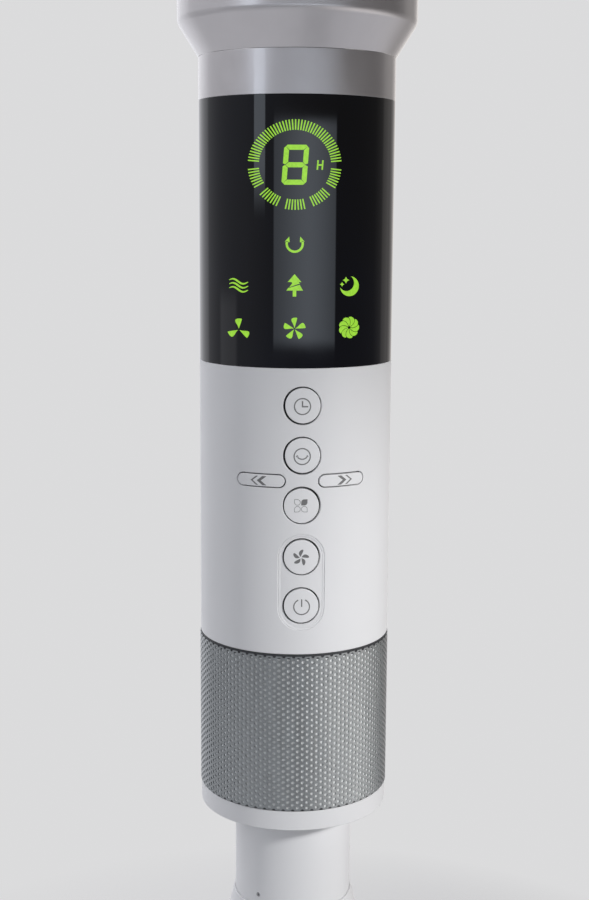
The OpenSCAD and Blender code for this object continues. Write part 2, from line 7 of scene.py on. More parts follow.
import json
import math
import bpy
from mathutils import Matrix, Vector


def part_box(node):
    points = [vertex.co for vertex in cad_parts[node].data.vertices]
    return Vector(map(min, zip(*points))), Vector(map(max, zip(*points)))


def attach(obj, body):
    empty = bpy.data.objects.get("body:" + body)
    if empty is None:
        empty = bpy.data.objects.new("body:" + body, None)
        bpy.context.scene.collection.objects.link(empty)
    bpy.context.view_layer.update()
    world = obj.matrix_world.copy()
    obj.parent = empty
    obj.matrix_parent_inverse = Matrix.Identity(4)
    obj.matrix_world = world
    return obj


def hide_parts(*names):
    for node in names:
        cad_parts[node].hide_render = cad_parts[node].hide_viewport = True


bl_info = {
    "name": "Tower Fan",
    "version": (1, 0, 0),
    "blender": (4, 5, 0),
    "location": "View3D > Sidebar > Tower Fan",
    "description": "Finishes a slim tower fan round its packed frame",
    "category": "Add Mesh",
}

import bmesh
import bpy
from mathutils import Matrix, Vector

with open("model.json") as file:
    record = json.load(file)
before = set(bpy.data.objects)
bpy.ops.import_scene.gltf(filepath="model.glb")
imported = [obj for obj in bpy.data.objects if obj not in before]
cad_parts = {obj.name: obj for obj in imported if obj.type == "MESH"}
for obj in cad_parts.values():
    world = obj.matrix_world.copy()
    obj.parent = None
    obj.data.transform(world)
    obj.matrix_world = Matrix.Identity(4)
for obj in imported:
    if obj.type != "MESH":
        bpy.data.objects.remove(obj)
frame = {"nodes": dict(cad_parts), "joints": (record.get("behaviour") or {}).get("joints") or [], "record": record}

MM = 0.001


# ---------------------------------------------------------------- places from the frame

def low(node):
    """Lowest corner of a node, in millimetres."""
    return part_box(node)[0] / MM


def high(node):
    """Highest corner of a node, in millimetres."""
    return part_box(node)[1] / MM


def middle(node):
    return (low(node) + high(node)) / 2


def joint_angle(name):
    """Angle round the column, from the front towards +X, that a button's joint points in from."""
    axis = next(j["axis"] for j in frame["joints"] if j["name"] == name)
    return math.atan2(-axis[0], axis[1])


COLUMN_R = round(high("display_window").x, 2)
POLE_R = round(high("pole").x, 2)
TOWER_R = round(high("rear_housing").x, 2)
BASE_R = round(high("base_cover").x, 1)

FOOT_Z = low("foot_ring").z
GRILLE_Z = low("speaker_grille").z - 0.1
SLEEVE_Z = low("control_sleeve").z
DISPLAY_Z = low("display_window").z
NECK_Z = low("neck_ring").z
NECK_TOP_Z = high("neck_ring").z
SHOULDER_Z = NECK_TOP_Z + 16.7
BAY_TOP_Z = high("head_collar").z

# Steps round a full turn: large glossy rings, then the rest.
FINE_STEPS, STEPS = 256, 192

ROUND_BUTTONS = ("timer", "swing", "mode", "speed", "power")
TRACK_BUTTONS = ("previous", "next")


# ---------------------------------------------------------------- sizes and colours

def length(name, default, words):
    return bpy.props.FloatProperty(
        name=name, description=words, default=default * MM, unit="LENGTH", precision=5)


def colour(name, default, words):
    return bpy.props.FloatVectorProperty(
        name=name, description=words, default=default, size=3, subtype="COLOR", min=0, max=1)


class TowerFanSizes(bpy.types.PropertyGroup):
    """Small sizes that the frame leaves open."""

    edge: length("Edge radius", 0.36, "Rounding on the moulded edges of the column")
    hole: length("Button hole", 19.1, "Diameter of a round button's hole")
    cap: length("Button cap", 17.5, "Diameter of a round button's cap")
    slot_length: length("Track slot length", 26.1, "Length of a track button's slot")
    slot_height: length("Track slot height", 7.1, "Height of a track button's slot")
    track_gap: length("Track button gap", 0.6, "Gap round a track button")
    pocket_width: length("Pocket width", 23.4, "Width of the shallow pocket round two buttons")
    pocket_height: length("Pocket height", 49.6, "Height of the shallow pocket round two buttons")
    pocket_depth: length("Pocket depth", 0.46, "Depth of the shallow pocket round two buttons")
    print_height: length("Print height", 0.03, "Thickness of the printed symbols")
    mesh_hole: length("Grille hole", 1.85, "Diameter of a hole in the speaker grille")
    mesh_column: length("Grille column", 2.493, "Distance between two columns of holes")
    mesh_row: length("Grille row", 3.0, "Distance between two holes of a column")
    mesh_thick: length("Grille thickness", 0.4, "Thickness of the perforated metal")
    digit_height: length("Digit height", 19, "Height of the lit digit")
    digit_width: length("Digit width", 12.1, "Width of the lit digit")


class TowerFanColours(bpy.types.PropertyGroup):
    """Base colours of the main finishes."""

    white: colour("White", (0.80, 0.80, 0.81), "Satin white mouldings and the pole")
    silver: colour("Silver", (0.625, 0.605, 0.62), "Glossy silver-grey paint")
    black: colour("Black", (0.001, 0.002, 0.0065), "Display window")
    lit: colour("Lit", (0.34, 0.72, 0.045), "Lit symbols")
    ink: colour("Ink", (0.18, 0.18, 0.18), "Printed symbols")
    metal: colour("Metal", (0.38, 0.4, 0.41), "Perforated metal")


def sizes():
    return bpy.context.scene.tower_fan_sizes


def colours():
    return bpy.context.scene.tower_fan_colours


# ---------------------------------------------------------------- finishes

FINISHES = {}


class Finish:
    """A material and short ways to add nodes to it."""

    def __init__(self, name, base, roughness, metallic=0.0):
        self.material = bpy.data.materials.new(name)
        self.material.use_nodes = True
        self.nodes = self.material.node_tree.nodes
        self.links = self.material.node_tree.links
        self.shader = self.nodes["Principled BSDF"]
        self.place = self.nodes.new("ShaderNodeTexCoord").outputs["Object"]
        self.base = base
        self.set(("Base Color", (*base, 1)), ("Roughness", roughness), ("Metallic", metallic))
        FINISHES[name] = self.material

    def set(self, *values):
        for socket, value in values:
            self.shader.inputs[socket].default_value = value
        return self

    def noise(self, size, detail=3.0, squash=(1, 1, 1)):
        """Noise whose features are about size millimetres."""
        scaled = self.nodes.new("ShaderNodeMapping")
        scaled.inputs["Scale"].default_value = squash
        self.links.new(self.place, scaled.inputs["Vector"])
        texture = self.nodes.new("ShaderNodeTexNoise")
        texture.inputs["Scale"].default_value = 1 / (size * MM)
        texture.inputs["Detail"].default_value = detail
        self.links.new(scaled.outputs["Vector"], texture.inputs["Vector"])
        return texture.outputs["Fac"]

    def wave(self, size, direction="Z"):
        texture = self.nodes.new("ShaderNodeTexWave")
        texture.wave_type = "BANDS"
        texture.bands_direction = direction
        texture.inputs["Scale"].default_value = 1 / (size * MM * 20) * math.tau
        self.links.new(self.place, texture.inputs["Vector"])
        return texture.outputs["Fac"]

    def ramp(self, value, start, end, lowest, highest):
        node = self.nodes.new("ShaderNodeMapRange")
        for socket, number in (("From Min", start), ("From Max", end),
                               ("To Min", lowest), ("To Max", highest)):
            node.inputs[socket].default_value = number
        self.links.new(value, node.inputs["Value"])
        return node.outputs["Result"]

    def tint(self, value, share):
        """Lets the base colour drift by a share, up and down."""
        mix = self.nodes.new("ShaderNodeMix")
        mix.data_type = "RGBA"
        mix.inputs["A"].default_value = (*[c * (1 - share) for c in self.base], 1)
        mix.inputs["B"].default_value = (*[min(1, c * (1 + share)) for c in self.base], 1)
        self.links.new(self.ramp(value, 0.3, 0.7, 0, 1), mix.inputs["Factor"])
        self.links.new(mix.outputs["Result"], self.shader.inputs["Base Color"])
        return self

    def rough(self, value, lowest, highest):
        self.links.new(self.ramp(value, 0.3, 0.7, lowest, highest), self.shader.inputs["Roughness"])
        return self

    def bump(self, value, depth, strength=1.0):
        """Bump whose full height is depth millimetres. Bumps stack."""
        node = self.nodes.new("ShaderNodeBump")
        node.inputs["Distance"].default_value = depth * MM
        node.inputs["Strength"].default_value = strength
        self.links.new(value, node.inputs["Height"])
        before = self.shader.inputs["Normal"]
        if before.is_linked:
            self.links.new(before.links[0].from_socket, node.inputs["Normal"])
        self.links.new(node.outputs["Normal"], before)
        return self


def satin_white(name="white_satin", base=None, roughness=0.42):
    """Moulded plastic with a fine spark-eroded grain."""
    f = Finish(name, base or tuple(colours().white), roughness)
    f.tint(f.noise(60, 2), 0.012).rough(f.noise(9, 4), roughness - 0.04, roughness + 0.05)
    return f.bump(f.noise(0.35, 2), 0.006).bump(f.noise(26, 1), 0.02)


def painted_white():
    f = Finish("white_paint", tuple(colours().white), 0.36)
    f.tint(f.noise(50, 2), 0.01).rough(f.noise(14, 3), 0.33, 0.4)
    return f.bump(f.noise(1.6, 2), 0.008)


def silver_gloss():
    """Silver paint under clear lacquer, with a trace of orange peel."""
    f = Finish("grey_gloss", tuple(colours().silver), 0.36, 0.75)
    f.set(("Coat Weight", 1.0), ("Coat Roughness", 0.03), ("Coat IOR", 1.5))
    f.tint(f.noise(14, 2), 0.02).rough(f.noise(9, 2), 0.33, 0.39)
    return f.bump(f.noise(7, 1), 0.003)


def black_window():
    f = Finish("black_window", tuple(colours().black), 0.03)
    f.rough(f.noise(30, 4), 0.02, 0.045).tint(f.noise(40, 1), 0.2)
    return f.bump(f.noise(12, 1), 0.0015)


def lit_symbol():
    """A lit field behind the window, with a fine diffuser grain."""
    f = Finish("lit_symbol", tuple(c * 0.06 for c in colours().lit), 0.25)
    f.set(("Emission Color", (*colours().lit, 1)), ("Emission Strength", 0.9))
    mix = f.nodes.new("ShaderNodeMix")
    mix.data_type = "RGBA"
    mix.inputs["A"].default_value = (*[c * 0.9 for c in colours().lit], 1)
    mix.inputs["B"].default_value = (*[min(1, c * 1.08) for c in colours().lit], 1)
    f.links.new(f.ramp(f.noise(1.2, 2), 0.35, 0.65, 0, 1), mix.inputs["Factor"])
    f.links.new(mix.outputs["Result"], f.shader.inputs["Emission Color"])
    return f


def ink():
    f = Finish("ink", tuple(colours().ink), 0.5)
    return f.tint(f.noise(0.5, 2), 0.08).bump(f.noise(0.2, 1), 0.003)


def perforated_metal():
    """Bright rolled sheet: fine lines along the roll, a little uneven."""
    f = Finish("perforated_metal", tuple(colours().metal), 0.34, 1.0)
    f.rough(f.noise(2.5, 4, (1, 1, 0.08)), 0.28, 0.4).tint(f.noise(1.2, 3, (1, 1, 0.1)), 0.05)
    return f.bump(f.noise(0.3, 2, (1, 1, 0.06)), 0.004)


def speaker_cloth():
    f = Finish("cloth", (0.92, 0.93, 0.93), 0.85)
    f.set(("Sheen Weight", 0.3))
    f.tint(f.noise(4, 3), 0.03)
    return f.bump(f.wave(0.35, "Z"), 0.05, 0.7).bump(f.wave(0.35, "X"), 0.05, 0.7)


def plain(name, base, roughness, metallic=0.0, grain=0.5, depth=0.01, drift=0.05):
    """A finish with a grain, a slight drift of colour and uneven gloss."""
    f = Finish(name, base, roughness, metallic)
    f.tint(f.noise(grain * 20, 3), drift).rough(f.noise(grain * 12, 3), roughness * 0.85, roughness * 1.15)
    return f.bump(f.noise(grain, 2), depth)


def brushed(name, base, roughness):
    f = Finish(name, base, roughness, 1.0)
    f.rough(f.noise(1.5, 4, (1, 1, 0.05)), roughness * 0.8, roughness * 1.25)
    return f.tint(f.noise(3, 3, (1, 1, 0.1)), 0.05).bump(f.noise(0.25, 2, (1, 1, 0.05)), 0.003)


def make_finishes():
    satin_white()
    satin_white("white_button", (0.83, 0.83, 0.84), 0.36)
    painted_white()
    silver_gloss()
    black_window()
    lit_symbol()
    ink()
    perforated_metal()
    speaker_cloth()
    plain("foot_rubber", (0.03, 0.03, 0.032), 0.8, grain=0.6, depth=0.03, drift=0.15)
    plain("grey_rubber", (0.12, 0.12, 0.125), 0.7, grain=0.6, depth=0.02, drift=0.1)
    plain("grey_abs", (0.16, 0.165, 0.17), 0.5, grain=0.5, depth=0.012)
    plain("iron", (0.12, 0.12, 0.125), 0.6, 0.8, grain=0.9, depth=0.06, drift=0.15)
    plain("black_paint", (0.02, 0.02, 0.02), 0.4, grain=1.2, depth=0.01, drift=0.1)
    plain("speaker_paper", (0.025, 0.025, 0.027), 0.9, grain=0.4, depth=0.05, drift=0.2)
    plain("ferrite", (0.05, 0.05, 0.052), 0.55, grain=0.3, depth=0.02, drift=0.15)
    plain("circuit_board", (0.015, 0.09, 0.04), 0.35, grain=1.0, depth=0.01, drift=0.2)
    plain("black_plastic", (0.035, 0.036, 0.04), 0.45, grain=0.5, depth=0.012, drift=0.1)
    plain("acetal", (0.74, 0.72, 0.64), 0.4, grain=0.7, depth=0.006)
    plain("copper", (0.55, 0.22, 0.09), 0.3, 1.0, grain=0.5, depth=0.05, drift=0.15)
    plain("bearing_bronze", (0.5, 0.34, 0.14), 0.4, 1.0, grain=0.25, depth=0.01, drift=0.1)
    brushed("zinc_steel", (0.55, 0.56, 0.57), 0.35)
    brushed("screw_steel", (0.42, 0.42, 0.43), 0.3)


# ---------------------------------------------------------------- making pieces

def as_piece(name, bm, finish, body, replaced=(), sharp=35.0):
    """Turns a bmesh in millimetres into a piece that rides on a body."""
    bmesh.ops.scale(bm, vec=(MM, MM, MM), verts=bm.verts)
    for face in bm.faces:
        face.smooth = True
    for edge in bm.edges:
        edge.smooth = edge.calc_face_angle(math.pi) < math.radians(sharp)
    mesh = bpy.data.meshes.new(name)
    bm.to_mesh(mesh)
    bm.free()
    piece = placed(name, mesh, finish, body, replaced)
    shading = piece.modifiers.new("even_shading", "WEIGHTED_NORMAL")
    shading.keep_sharp = True
    shading.weight = 100
    return piece


def placed(name, mesh, finish, body, replaced=()):
    piece = bpy.data.objects.new(name, mesh)
    bpy.context.scene.collection.objects.link(piece)
    mesh.materials.clear()
    mesh.materials.append(FINISHES[finish])
    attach(piece, body)
    if replaced:
        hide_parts(*replaced)
    return piece


def turned(profile, rounded=None, steps=STEPS):
    """A closed shell spun round Z from a profile of (radius, height), with rounded corners.

    rounded maps a point's number to its radius.
    """
    bm = bmesh.new()
    verts = [bm.verts.new((r, 0, z)) for r, z in profile]
    for i, vert in enumerate(verts):
        bm.edges.new((vert, verts[(i + 1) % len(verts)]))
    for i, radius in (rounded or {}).items():
        bmesh.ops.bevel(bm, geom=[verts[i]], offset=radius, segments=5, profile=0.5,
                        affect="VERTICES", material=-1)
    bmesh.ops.spin(bm, geom=bm.verts[:] + bm.edges[:], cent=(0, 0, 0), axis=(0, 0, 1),
                   angle=math.tau, steps=steps, use_merge=True)
    bmesh.ops.remove_doubles(bm, verts=bm.verts, dist=1e-4)
    bmesh.ops.recalc_face_normals(bm, faces=bm.faces)
    return bm


def plate(outlines, thick, edge=0.0, edge_steps=2):
    """A flat plate with its top at z = 0: the outlines inside others are holes."""
    curve = bpy.data.curves.new("outline", "CURVE")
    curve.dimensions = "2D"
    curve.fill_mode = "BOTH"
    curve.extrude = thick / 2 - edge
    curve.bevel_depth = edge
    curve.offset = -edge
    curve.bevel_resolution = edge_steps
    for points in outlines:
        spline = curve.splines.new("POLY")
        spline.points.add(len(points) - 1)
        for point, (x, y) in zip(spline.points, points):
            point.co = (x, y, 0, 1)
        spline.use_cyclic_u = True
    holder = bpy.data.objects.new("outline", curve)
    bpy.context.scene.collection.objects.link(holder)
    bpy.context.view_layer.update()
    mesh = bpy.data.meshes.new_from_object(holder)
    bm = bmesh.new()
    bm.from_mesh(mesh)
    bpy.data.objects.remove(holder)
    bpy.data.curves.remove(curve)
    bpy.data.meshes.remove(mesh)
    bmesh.ops.remove_doubles(bm, verts=bm.verts, dist=1e-4)
    bmesh.ops.recalc_face_normals(bm, faces=bm.faces)
    bmesh.ops.translate(bm, vec=(0, 0, -thick / 2), verts=bm.verts)
    return bm


def corner_directions(bm):
    """One shading direction per face corner of a flat plate: its flat faces stay flat, and the
    rounded edges run into them smoothly."""
    flat, mean = {}, {}
    for face in bm.faces:
        for vert in face.verts:
            if abs(face.normal.z) > 0.9999:
                flat[vert] = face.normal.copy()
            mean[vert] = mean.get(vert, Vector()) + face.normal * face.calc_area()
    directions = []
    for face in bm.faces:
        for loop in face.loops:
            own = face.normal
            side = flat.get(loop.vert)
            if abs(own.z) > 0.9999:
                directions.append(own.copy())
            elif side is not None and own.dot(side) > math.cos(math.radians(50)):
                directions.append(side.copy())
            elif side is not None and abs(own.z) < 0.02:
                directions.append(own.copy())
            else:
                directions.append(mean[loop.vert].normalized())
    return directions


def bent(name, bm, radius, finish, body, replaced=(), step=2.0, turn=0.0):
    """Bends a flat plate round the Z axis and makes it a piece.

    The plate's x runs along the surface from the front, its y is height and its z points outwards.
    """
    width = max(abs(v.co.x) for v in bm.verts)
    pitch = radius * math.radians(step)
    count = int(width / pitch)
    for i in range(-count, count + 1):
        bmesh.ops.bisect_plane(bm, geom=bm.verts[:] + bm.edges[:] + bm.faces[:], dist=1e-4,
                               plane_co=(i * pitch, 0, 0), plane_no=(1, 0, 0))
    bmesh.ops.dissolve_degenerate(bm, dist=1e-4, edges=bm.edges)
    bm.normal_update()
    directions = corner_directions(bm)
    angles = [loop.vert.co.x / radius + turn for face in bm.faces for loop in face.loops]

    def round_column(direction, angle):
        sine, cosine = math.sin(angle), math.cos(angle)
        return Vector((direction.x * cosine + direction.z * sine,
                       direction.x * sine - direction.z * cosine, direction.y))

    for vert in bm.verts:
        angle = vert.co.x / radius + turn
        out = (radius + vert.co.z) * MM
        vert.co = (out * math.sin(angle), -out * math.cos(angle), vert.co.y * MM)
    for face in bm.faces:
        face.smooth = True
    mesh = bpy.data.meshes.new(name)
    bm.to_mesh(mesh)
    bm.free()
    mesh.normals_split_custom_set([round_column(d, a) for d, a in zip(directions, angles)])
    return placed(name, mesh, finish, body, replaced)


# ---------------------------------------------------------------- outlines, in millimetres

def arc(radius, start, end, steps, centre=(0, 0)):
    """Points of an arc between two angles in degrees, counted from +x."""
    turns = [math.radians(start + (end - start) * i / steps) for i in range(steps + 1)]
    return [(centre[0] + radius * math.cos(a), centre[1] + radius * math.sin(a)) for a in turns]


def bezier(start, first, second, end, steps):
    """Points of a cubic Bezier curve, both ends included."""
    points = []
    for i in range(steps + 1):
        t = i / steps
        weights = ((1 - t) ** 3, 3 * (1 - t) ** 2 * t, 3 * (1 - t) * t * t, t ** 3)
        corners = (start, first, second, end)
        points.append(tuple(sum(w * c[k] for w, c in zip(weights, corners)) for k in (0, 1)))
    return points


def circle(radius, centre=(0, 0), steps=48):
    return arc(radius, 0, 360, steps, centre)[:-1]


def moved(points, x, y):
    return [(px + x, py + y) for px, py in points]


def rotated(points, degrees):
    c, s = math.cos(math.radians(degrees)), math.sin(math.radians(degrees))
    return [(x * c - y * s, x * s + y * c) for x, y in points]


def slanted(points, degrees):
    lean = math.tan(math.radians(degrees))
    return [(x + y * lean, y) for x, y in points]


def rectangle(x0, y0, x1, y1):
    return [(x0, y0), (x1, y0), (x1, y1), (x0, y1)]


def stadium(half_width, half_height, steps=24):
    """A slot with round ends, lying or upright."""
    if half_width > half_height:
        gap = half_width - half_height
        return (arc(half_height, -90, 90, steps, (gap, 0))
                + arc(half_height, 90, 270, steps, (-gap, 0)))
    gap = half_height - half_width
    return arc(half_width, 0, 180, steps, (0, gap)) + arc(half_width, 180, 360, steps, (0, -gap))


def band(path, width):
    """The outline of a stroke of even width along a path."""
    sides = [[], []]
    for i, (x, y) in enumerate(path):
        ax, ay = path[max(i - 1, 0)]
        bx, by = path[min(i + 1, len(path) - 1)]
        run = math.hypot(bx - ax, by - ay)
        nx, ny = -(by - ay) / run, (bx - ax) / run
        half = width(i / (len(path) - 1)) / 2 if callable(width) else width / 2
        sides[0].append((x + nx * half, y + ny * half))
        sides[1].append((x - nx * half, y - ny * half))
    return sides[0] + sides[1][::-1]


def ring(radius, stroke, steps=64):
    return [circle(radius + stroke / 2, steps=steps), circle(radius - stroke / 2, steps=steps)]


def blade(inner, outer, width, lean, steps=28):
    """A fan blade that starts as a point near the hub and ends broad and round."""
    points = []
    for i in range(steps):
        a = math.tau * i / steps
        share = (1 - math.cos(a)) / 2
        x = inner + (outer - inner) * share
        y = width / 2 * math.sin(a) * math.sin(a / 2) ** 1.3 / 0.8
        points.append((x, y + lean * (x / outer) ** 2))
    return points


def on_column(points, turn=0.0, x=0.0, y=0.0, radius=None):
    """Carries an outline seen from straight ahead onto the unrolled column.

    The outline is drawn round (x, y) on a plane that is turned round the column by an angle.
    """
    radius = radius or COLUMN_R
    return [(radius * (math.asin((px + x) / radius) + turn), py + y) for px, py in points]


def around_column(outlines, **place):
    return [on_column(points, **place) for points in outlines]


# ---------------------------------------------------------------- stage

STAGE_COLOUR = (0.71, 0.71, 0.717)
CAMERA_LENS = 56.75
CAMERA_DISTANCE = 740.9
CAMERA_HEIGHT = 312.7
CAMERA_PITCH = 9.32
CAMERA_ROLL = 0.32
CAMERA_AZIMUTH = -4.1
CAMERA_YAW = 0.02


def make_camera():
    data = bpy.data.cameras.new("camera")
    data.lens = CAMERA_LENS
    data.sensor_width = 36
    camera = bpy.data.objects.new("camera", data)
    bpy.context.scene.collection.objects.link(camera)
    azimuth = math.radians(CAMERA_AZIMUTH)
    place = Vector((math.sin(azimuth) * CAMERA_DISTANCE, -math.cos(azimuth) * CAMERA_DISTANCE,
                    FOOT_Z + CAMERA_HEIGHT))
    look = (Matrix.Rotation(azimuth + math.radians(CAMERA_YAW), 4, "Z")
            @ Matrix.Rotation(math.radians(90 - CAMERA_PITCH), 4, "X")
            @ Matrix.Rotation(math.radians(CAMERA_ROLL), 4, "Z"))
    camera.matrix_world = Matrix.Translation(place * MM) @ look
    bpy.context.scene.camera = camera


FLOOR_RADIUS, FADE_START, FADE_END = 14, 0.15, 0.33


def make_floor():
    """A wide pale floor that runs into the backdrop's colour away from the fan."""
    bm = bmesh.new()
    bmesh.ops.create_circle(bm, cap_ends=True, cap_tris=True, segments=96, radius=FLOOR_RADIUS)
    mesh = bpy.data.meshes.new("floor")
    bm.to_mesh(mesh)
    bm.free()
    floor = bpy.data.objects.new("floor", mesh)
    bpy.context.scene.collection.objects.link(floor)
    f = Finish("studio_floor", (0.79, 0.79, 0.795), 0.7)
    length_node = f.nodes.new("ShaderNodeVectorMath")
    length_node.operation = "LENGTH"
    f.links.new(f.place, length_node.inputs[0])
    fade = f.ramp(length_node.outputs["Value"], FADE_START, FADE_END, 0, 1)
    glow = f.nodes.new("ShaderNodeEmission")
    glow.inputs["Color"].default_value = (*STAGE_COLOUR, 1)
    mix = f.nodes.new("ShaderNodeMixShader")
    f.links.new(fade, mix.inputs["Fac"])
    f.links.new(f.shader.outputs["BSDF"], mix.inputs[1])
    f.links.new(glow.outputs["Emission"], mix.inputs[2])
    f.links.new(mix.outputs["Shader"], f.nodes["Material Output"].inputs["Surface"])
    f.bump(f.noise(1.5, 2), 0.05)
    mesh.materials.append(f.material)
    floor.visible_glossy = False
    floor.visible_diffuse = False


# Brightness of the studio round the fan: angle from the camera's side, then level.
STUDIO_LEVELS = ((-180, 1.0), (-147, 0.95), (-128, 0.74), (-124, 0.46), (-100, 0.38), (-60, 0.34),
                 (-30, 0.24), (0, 0.17), (52, 0.13), (104, 0.12), (119, 0.2), (123, 0.36),
                 (137, 0.38), (140, 0.3), (150, 0.45), (162, 0.8), (180, 1.0))
COOL, WARM, BLUE = (0.98, 0.985, 1.03), (1.05, 1.0, 0.97), (0.9, 1.0, 1.13)
# Patches of light: start, end and softness across, the same upwards, then level and tint.
WINDOW_PANEL = ((-26, 46.6, 1.0), (-5.1, 3.75, 0.3), 1.45, BLUE)
PATCHES = (((-50, -36.5, 0.5), (1.0, 7.4, 1.2), 1.5, BLUE),
           ((-55, -37.5, 0.5), (8.1, 30, 0.1), 1.5, BLUE),
           ((-150, -35, 22), (16, 85, 8), 1.25, COOL),
           ((-100, -74, 3), (-9, -3.1, 0.6), 0.3, COOL),
           ((28, 112, 25), (-27, -14, 4), 1.05, WARM))
# The panel is brightest in its middle; the ground below is darker in front of the fan.
PANEL_MIDDLE, PANEL_EDGE_SHARE, PANEL_MIDDLE_SHARE = (-8, 36, 24), 0.5, 0.7
GROUND, GROUND_LEVEL = (-100, -24, 8), 0.62
GROUND_DIM, GROUND_DIM_SHARE = (8, 46, 1), 0.3
DIFFUSE_SHARE = 0.68


def make_studio():
    """A plain backdrop for the eye and a soft studio for the light and the reflections."""
    world = bpy.data.worlds.new("studio")
    world.use_nodes = True
    nodes, links = world.node_tree.nodes, world.node_tree.links
    bpy.context.scene.world = world

    def math_node(kind, *values):
        node = nodes.new("ShaderNodeMath")
        node.operation = kind
        for i, value in enumerate(values):
            if isinstance(value, (int, float)):
                node.inputs[i].default_value = value
            else:
                links.new(value, node.inputs[i])
        return node.outputs["Value"]

    def gate(value, start, end, soft):
        """One between two angles, with soft ends, and nothing outside."""
        rise = nodes.new("ShaderNodeMapRange")
        fall = nodes.new("ShaderNodeMapRange")
        for node, at, first in ((rise, start, 0), (fall, end, 1)):
            node.interpolation_type = "SMOOTHSTEP"
            node.inputs["From Min"].default_value = at - soft
            node.inputs["From Max"].default_value = at + soft
            node.inputs["To Min"].default_value = first
            node.inputs["To Max"].default_value = 1 - first
            links.new(value, node.inputs["Value"])
        return math_node("MULTIPLY", rise.outputs["Result"], fall.outputs["Result"])

    place = nodes.new("ShaderNodeTexCoord").outputs["Generated"]
    turn = nodes.new("ShaderNodeMapping")
    turn.inputs["Rotation"].default_value = (0, 0, math.radians(-CAMERA_AZIMUTH))
    links.new(place, turn.inputs["Vector"])
    axes = nodes.new("ShaderNodeSeparateXYZ")
    links.new(turn.outputs["Vector"], axes.inputs["Vector"])
    x, y, z = (axes.outputs[i] for i in range(3))
    azimuth = math_node("MULTIPLY", math_node("ARCTAN2", x, math_node("MULTIPLY", y, -1)),
                        180 / math.pi)
    elevation = math_node("MULTIPLY", math_node("ARCSINE", z), 180 / math.pi)
    share = math_node("DIVIDE", math_node("ADD", azimuth, 180), 360)
    ramp = nodes.new("ShaderNodeValToRGB")
    while len(ramp.color_ramp.elements) < len(STUDIO_LEVELS):
        ramp.color_ramp.elements.new(0.5)
    for element, (angle, level) in zip(ramp.color_ramp.elements, STUDIO_LEVELS):
        element.position = (angle + 180) / 360
        tint = COOL if angle < 0 else WARM
        element.color = (*[level * c for c in tint], 1)
    links.new(share, ramp.inputs["Fac"])

    def scaled(value, tint):
        """A colour: a number times a tint."""
        node = nodes.new("ShaderNodeVectorMath")
        node.operation = "MULTIPLY"
        links.new(value, node.inputs[0])
        node.inputs[1].default_value = tint
        return node.outputs["Vector"]

    def added(first, second, operation="ADD"):
        node = nodes.new("ShaderNodeVectorMath")
        node.operation = operation
        links.new(first, node.inputs[0])
        links.new(second, node.inputs[1])
        return node.outputs["Vector"]

    below = gate(elevation, *GROUND)
    level = added(ramp.outputs["Color"], math_node("SUBTRACT", 1, below), "MULTIPLY")
    across, upwards, strength, tint = WINDOW_PANEL
    panel = math_node("MULTIPLY", gate(azimuth, *across), gate(elevation, *upwards))
    glow = math_node("MULTIPLY", gate(azimuth, *PANEL_MIDDLE), PANEL_MIDDLE_SHARE)
    panel = math_node("MULTIPLY", panel, math_node("ADD", glow, PANEL_EDGE_SHARE))
    level = added(level, scaled(panel, [strength * c for c in tint]))
    dim = math_node("MULTIPLY", gate(azimuth, *GROUND_DIM), GROUND_DIM_SHARE)
    under = math_node("MULTIPLY", below, math_node("SUBTRACT", 1, dim))
    level = added(level, scaled(under, [GROUND_LEVEL * c for c in COOL]))
    for across, upwards, strength, tint in PATCHES:
        patch = math_node("MULTIPLY", gate(azimuth, *across), gate(elevation, *upwards))
        level = added(level, scaled(patch, [strength * c for c in tint]))
    path = nodes.new("ShaderNodeLightPath")
    share = math_node("MULTIPLY", path.outputs["Is Diffuse Ray"], 1 - DIFFUSE_SHARE)
    level = added(level, math_node("SUBTRACT", 1, share), "MULTIPLY")
    studio = nodes.new("ShaderNodeBackground")
    links.new(level, studio.inputs["Color"])
    backdrop = nodes.new("ShaderNodeBackground")
    backdrop.inputs["Color"].default_value = (*STAGE_COLOUR, 1)
    mix = nodes.new("ShaderNodeMixShader")
    links.new(path.outputs["Is Camera Ray"], mix.inputs["Fac"])
    links.new(studio.outputs["Background"], mix.inputs[1])
    links.new(backdrop.outputs["Background"], mix.inputs[2])
    links.new(mix.outputs["Shader"], nodes["World Output"].inputs["Surface"])


# The key lamp: where it stands, in degrees and metres, the height it aims at and its cone.
KEY_AZIMUTH, KEY_ELEVATION, KEY_DISTANCE = 50, 26, 1.2
KEY_AIM_Z, KEY_CONE, KEY_POWER, KEY_RADIUS = 200, 29.5, 39, 0.07


def make_key():
    """A soft spot lamp that lights the lower column from one side."""
    data = bpy.data.lights.new("key_lamp", "SPOT")
    data.energy = KEY_POWER
    data.spot_size = math.radians(KEY_CONE)
    data.spot_blend = 1
    data.shadow_soft_size = KEY_RADIUS
    lamp = bpy.data.objects.new("key_lamp", data)
    bpy.context.scene.collection.objects.link(lamp)
    a, e = math.radians(KEY_AZIMUTH), math.radians(KEY_ELEVATION)
    out = Vector((math.sin(a) * math.cos(e), -math.cos(a) * math.cos(e), math.sin(e)))
    lamp.location = Vector((0, 0, KEY_AIM_Z * MM)) + out * KEY_DISTANCE
    lamp.rotation_euler = out.to_track_quat("Z", "Y").to_euler()
    lamp.visible_camera = False


class TOWERFAN_OT_stage(bpy.types.Operator):
    """Make the floor, the studio light and the camera"""

    bl_idname = "towerfan.stage"
    bl_label = "Stage"

    def execute(self, context):
        make_finishes()
        make_camera()
        make_floor()
        make_studio()
        make_key()
        context.scene.view_settings.view_transform = "Standard"
        return {"FINISHED"}


# ---------------------------------------------------------------- base and pole

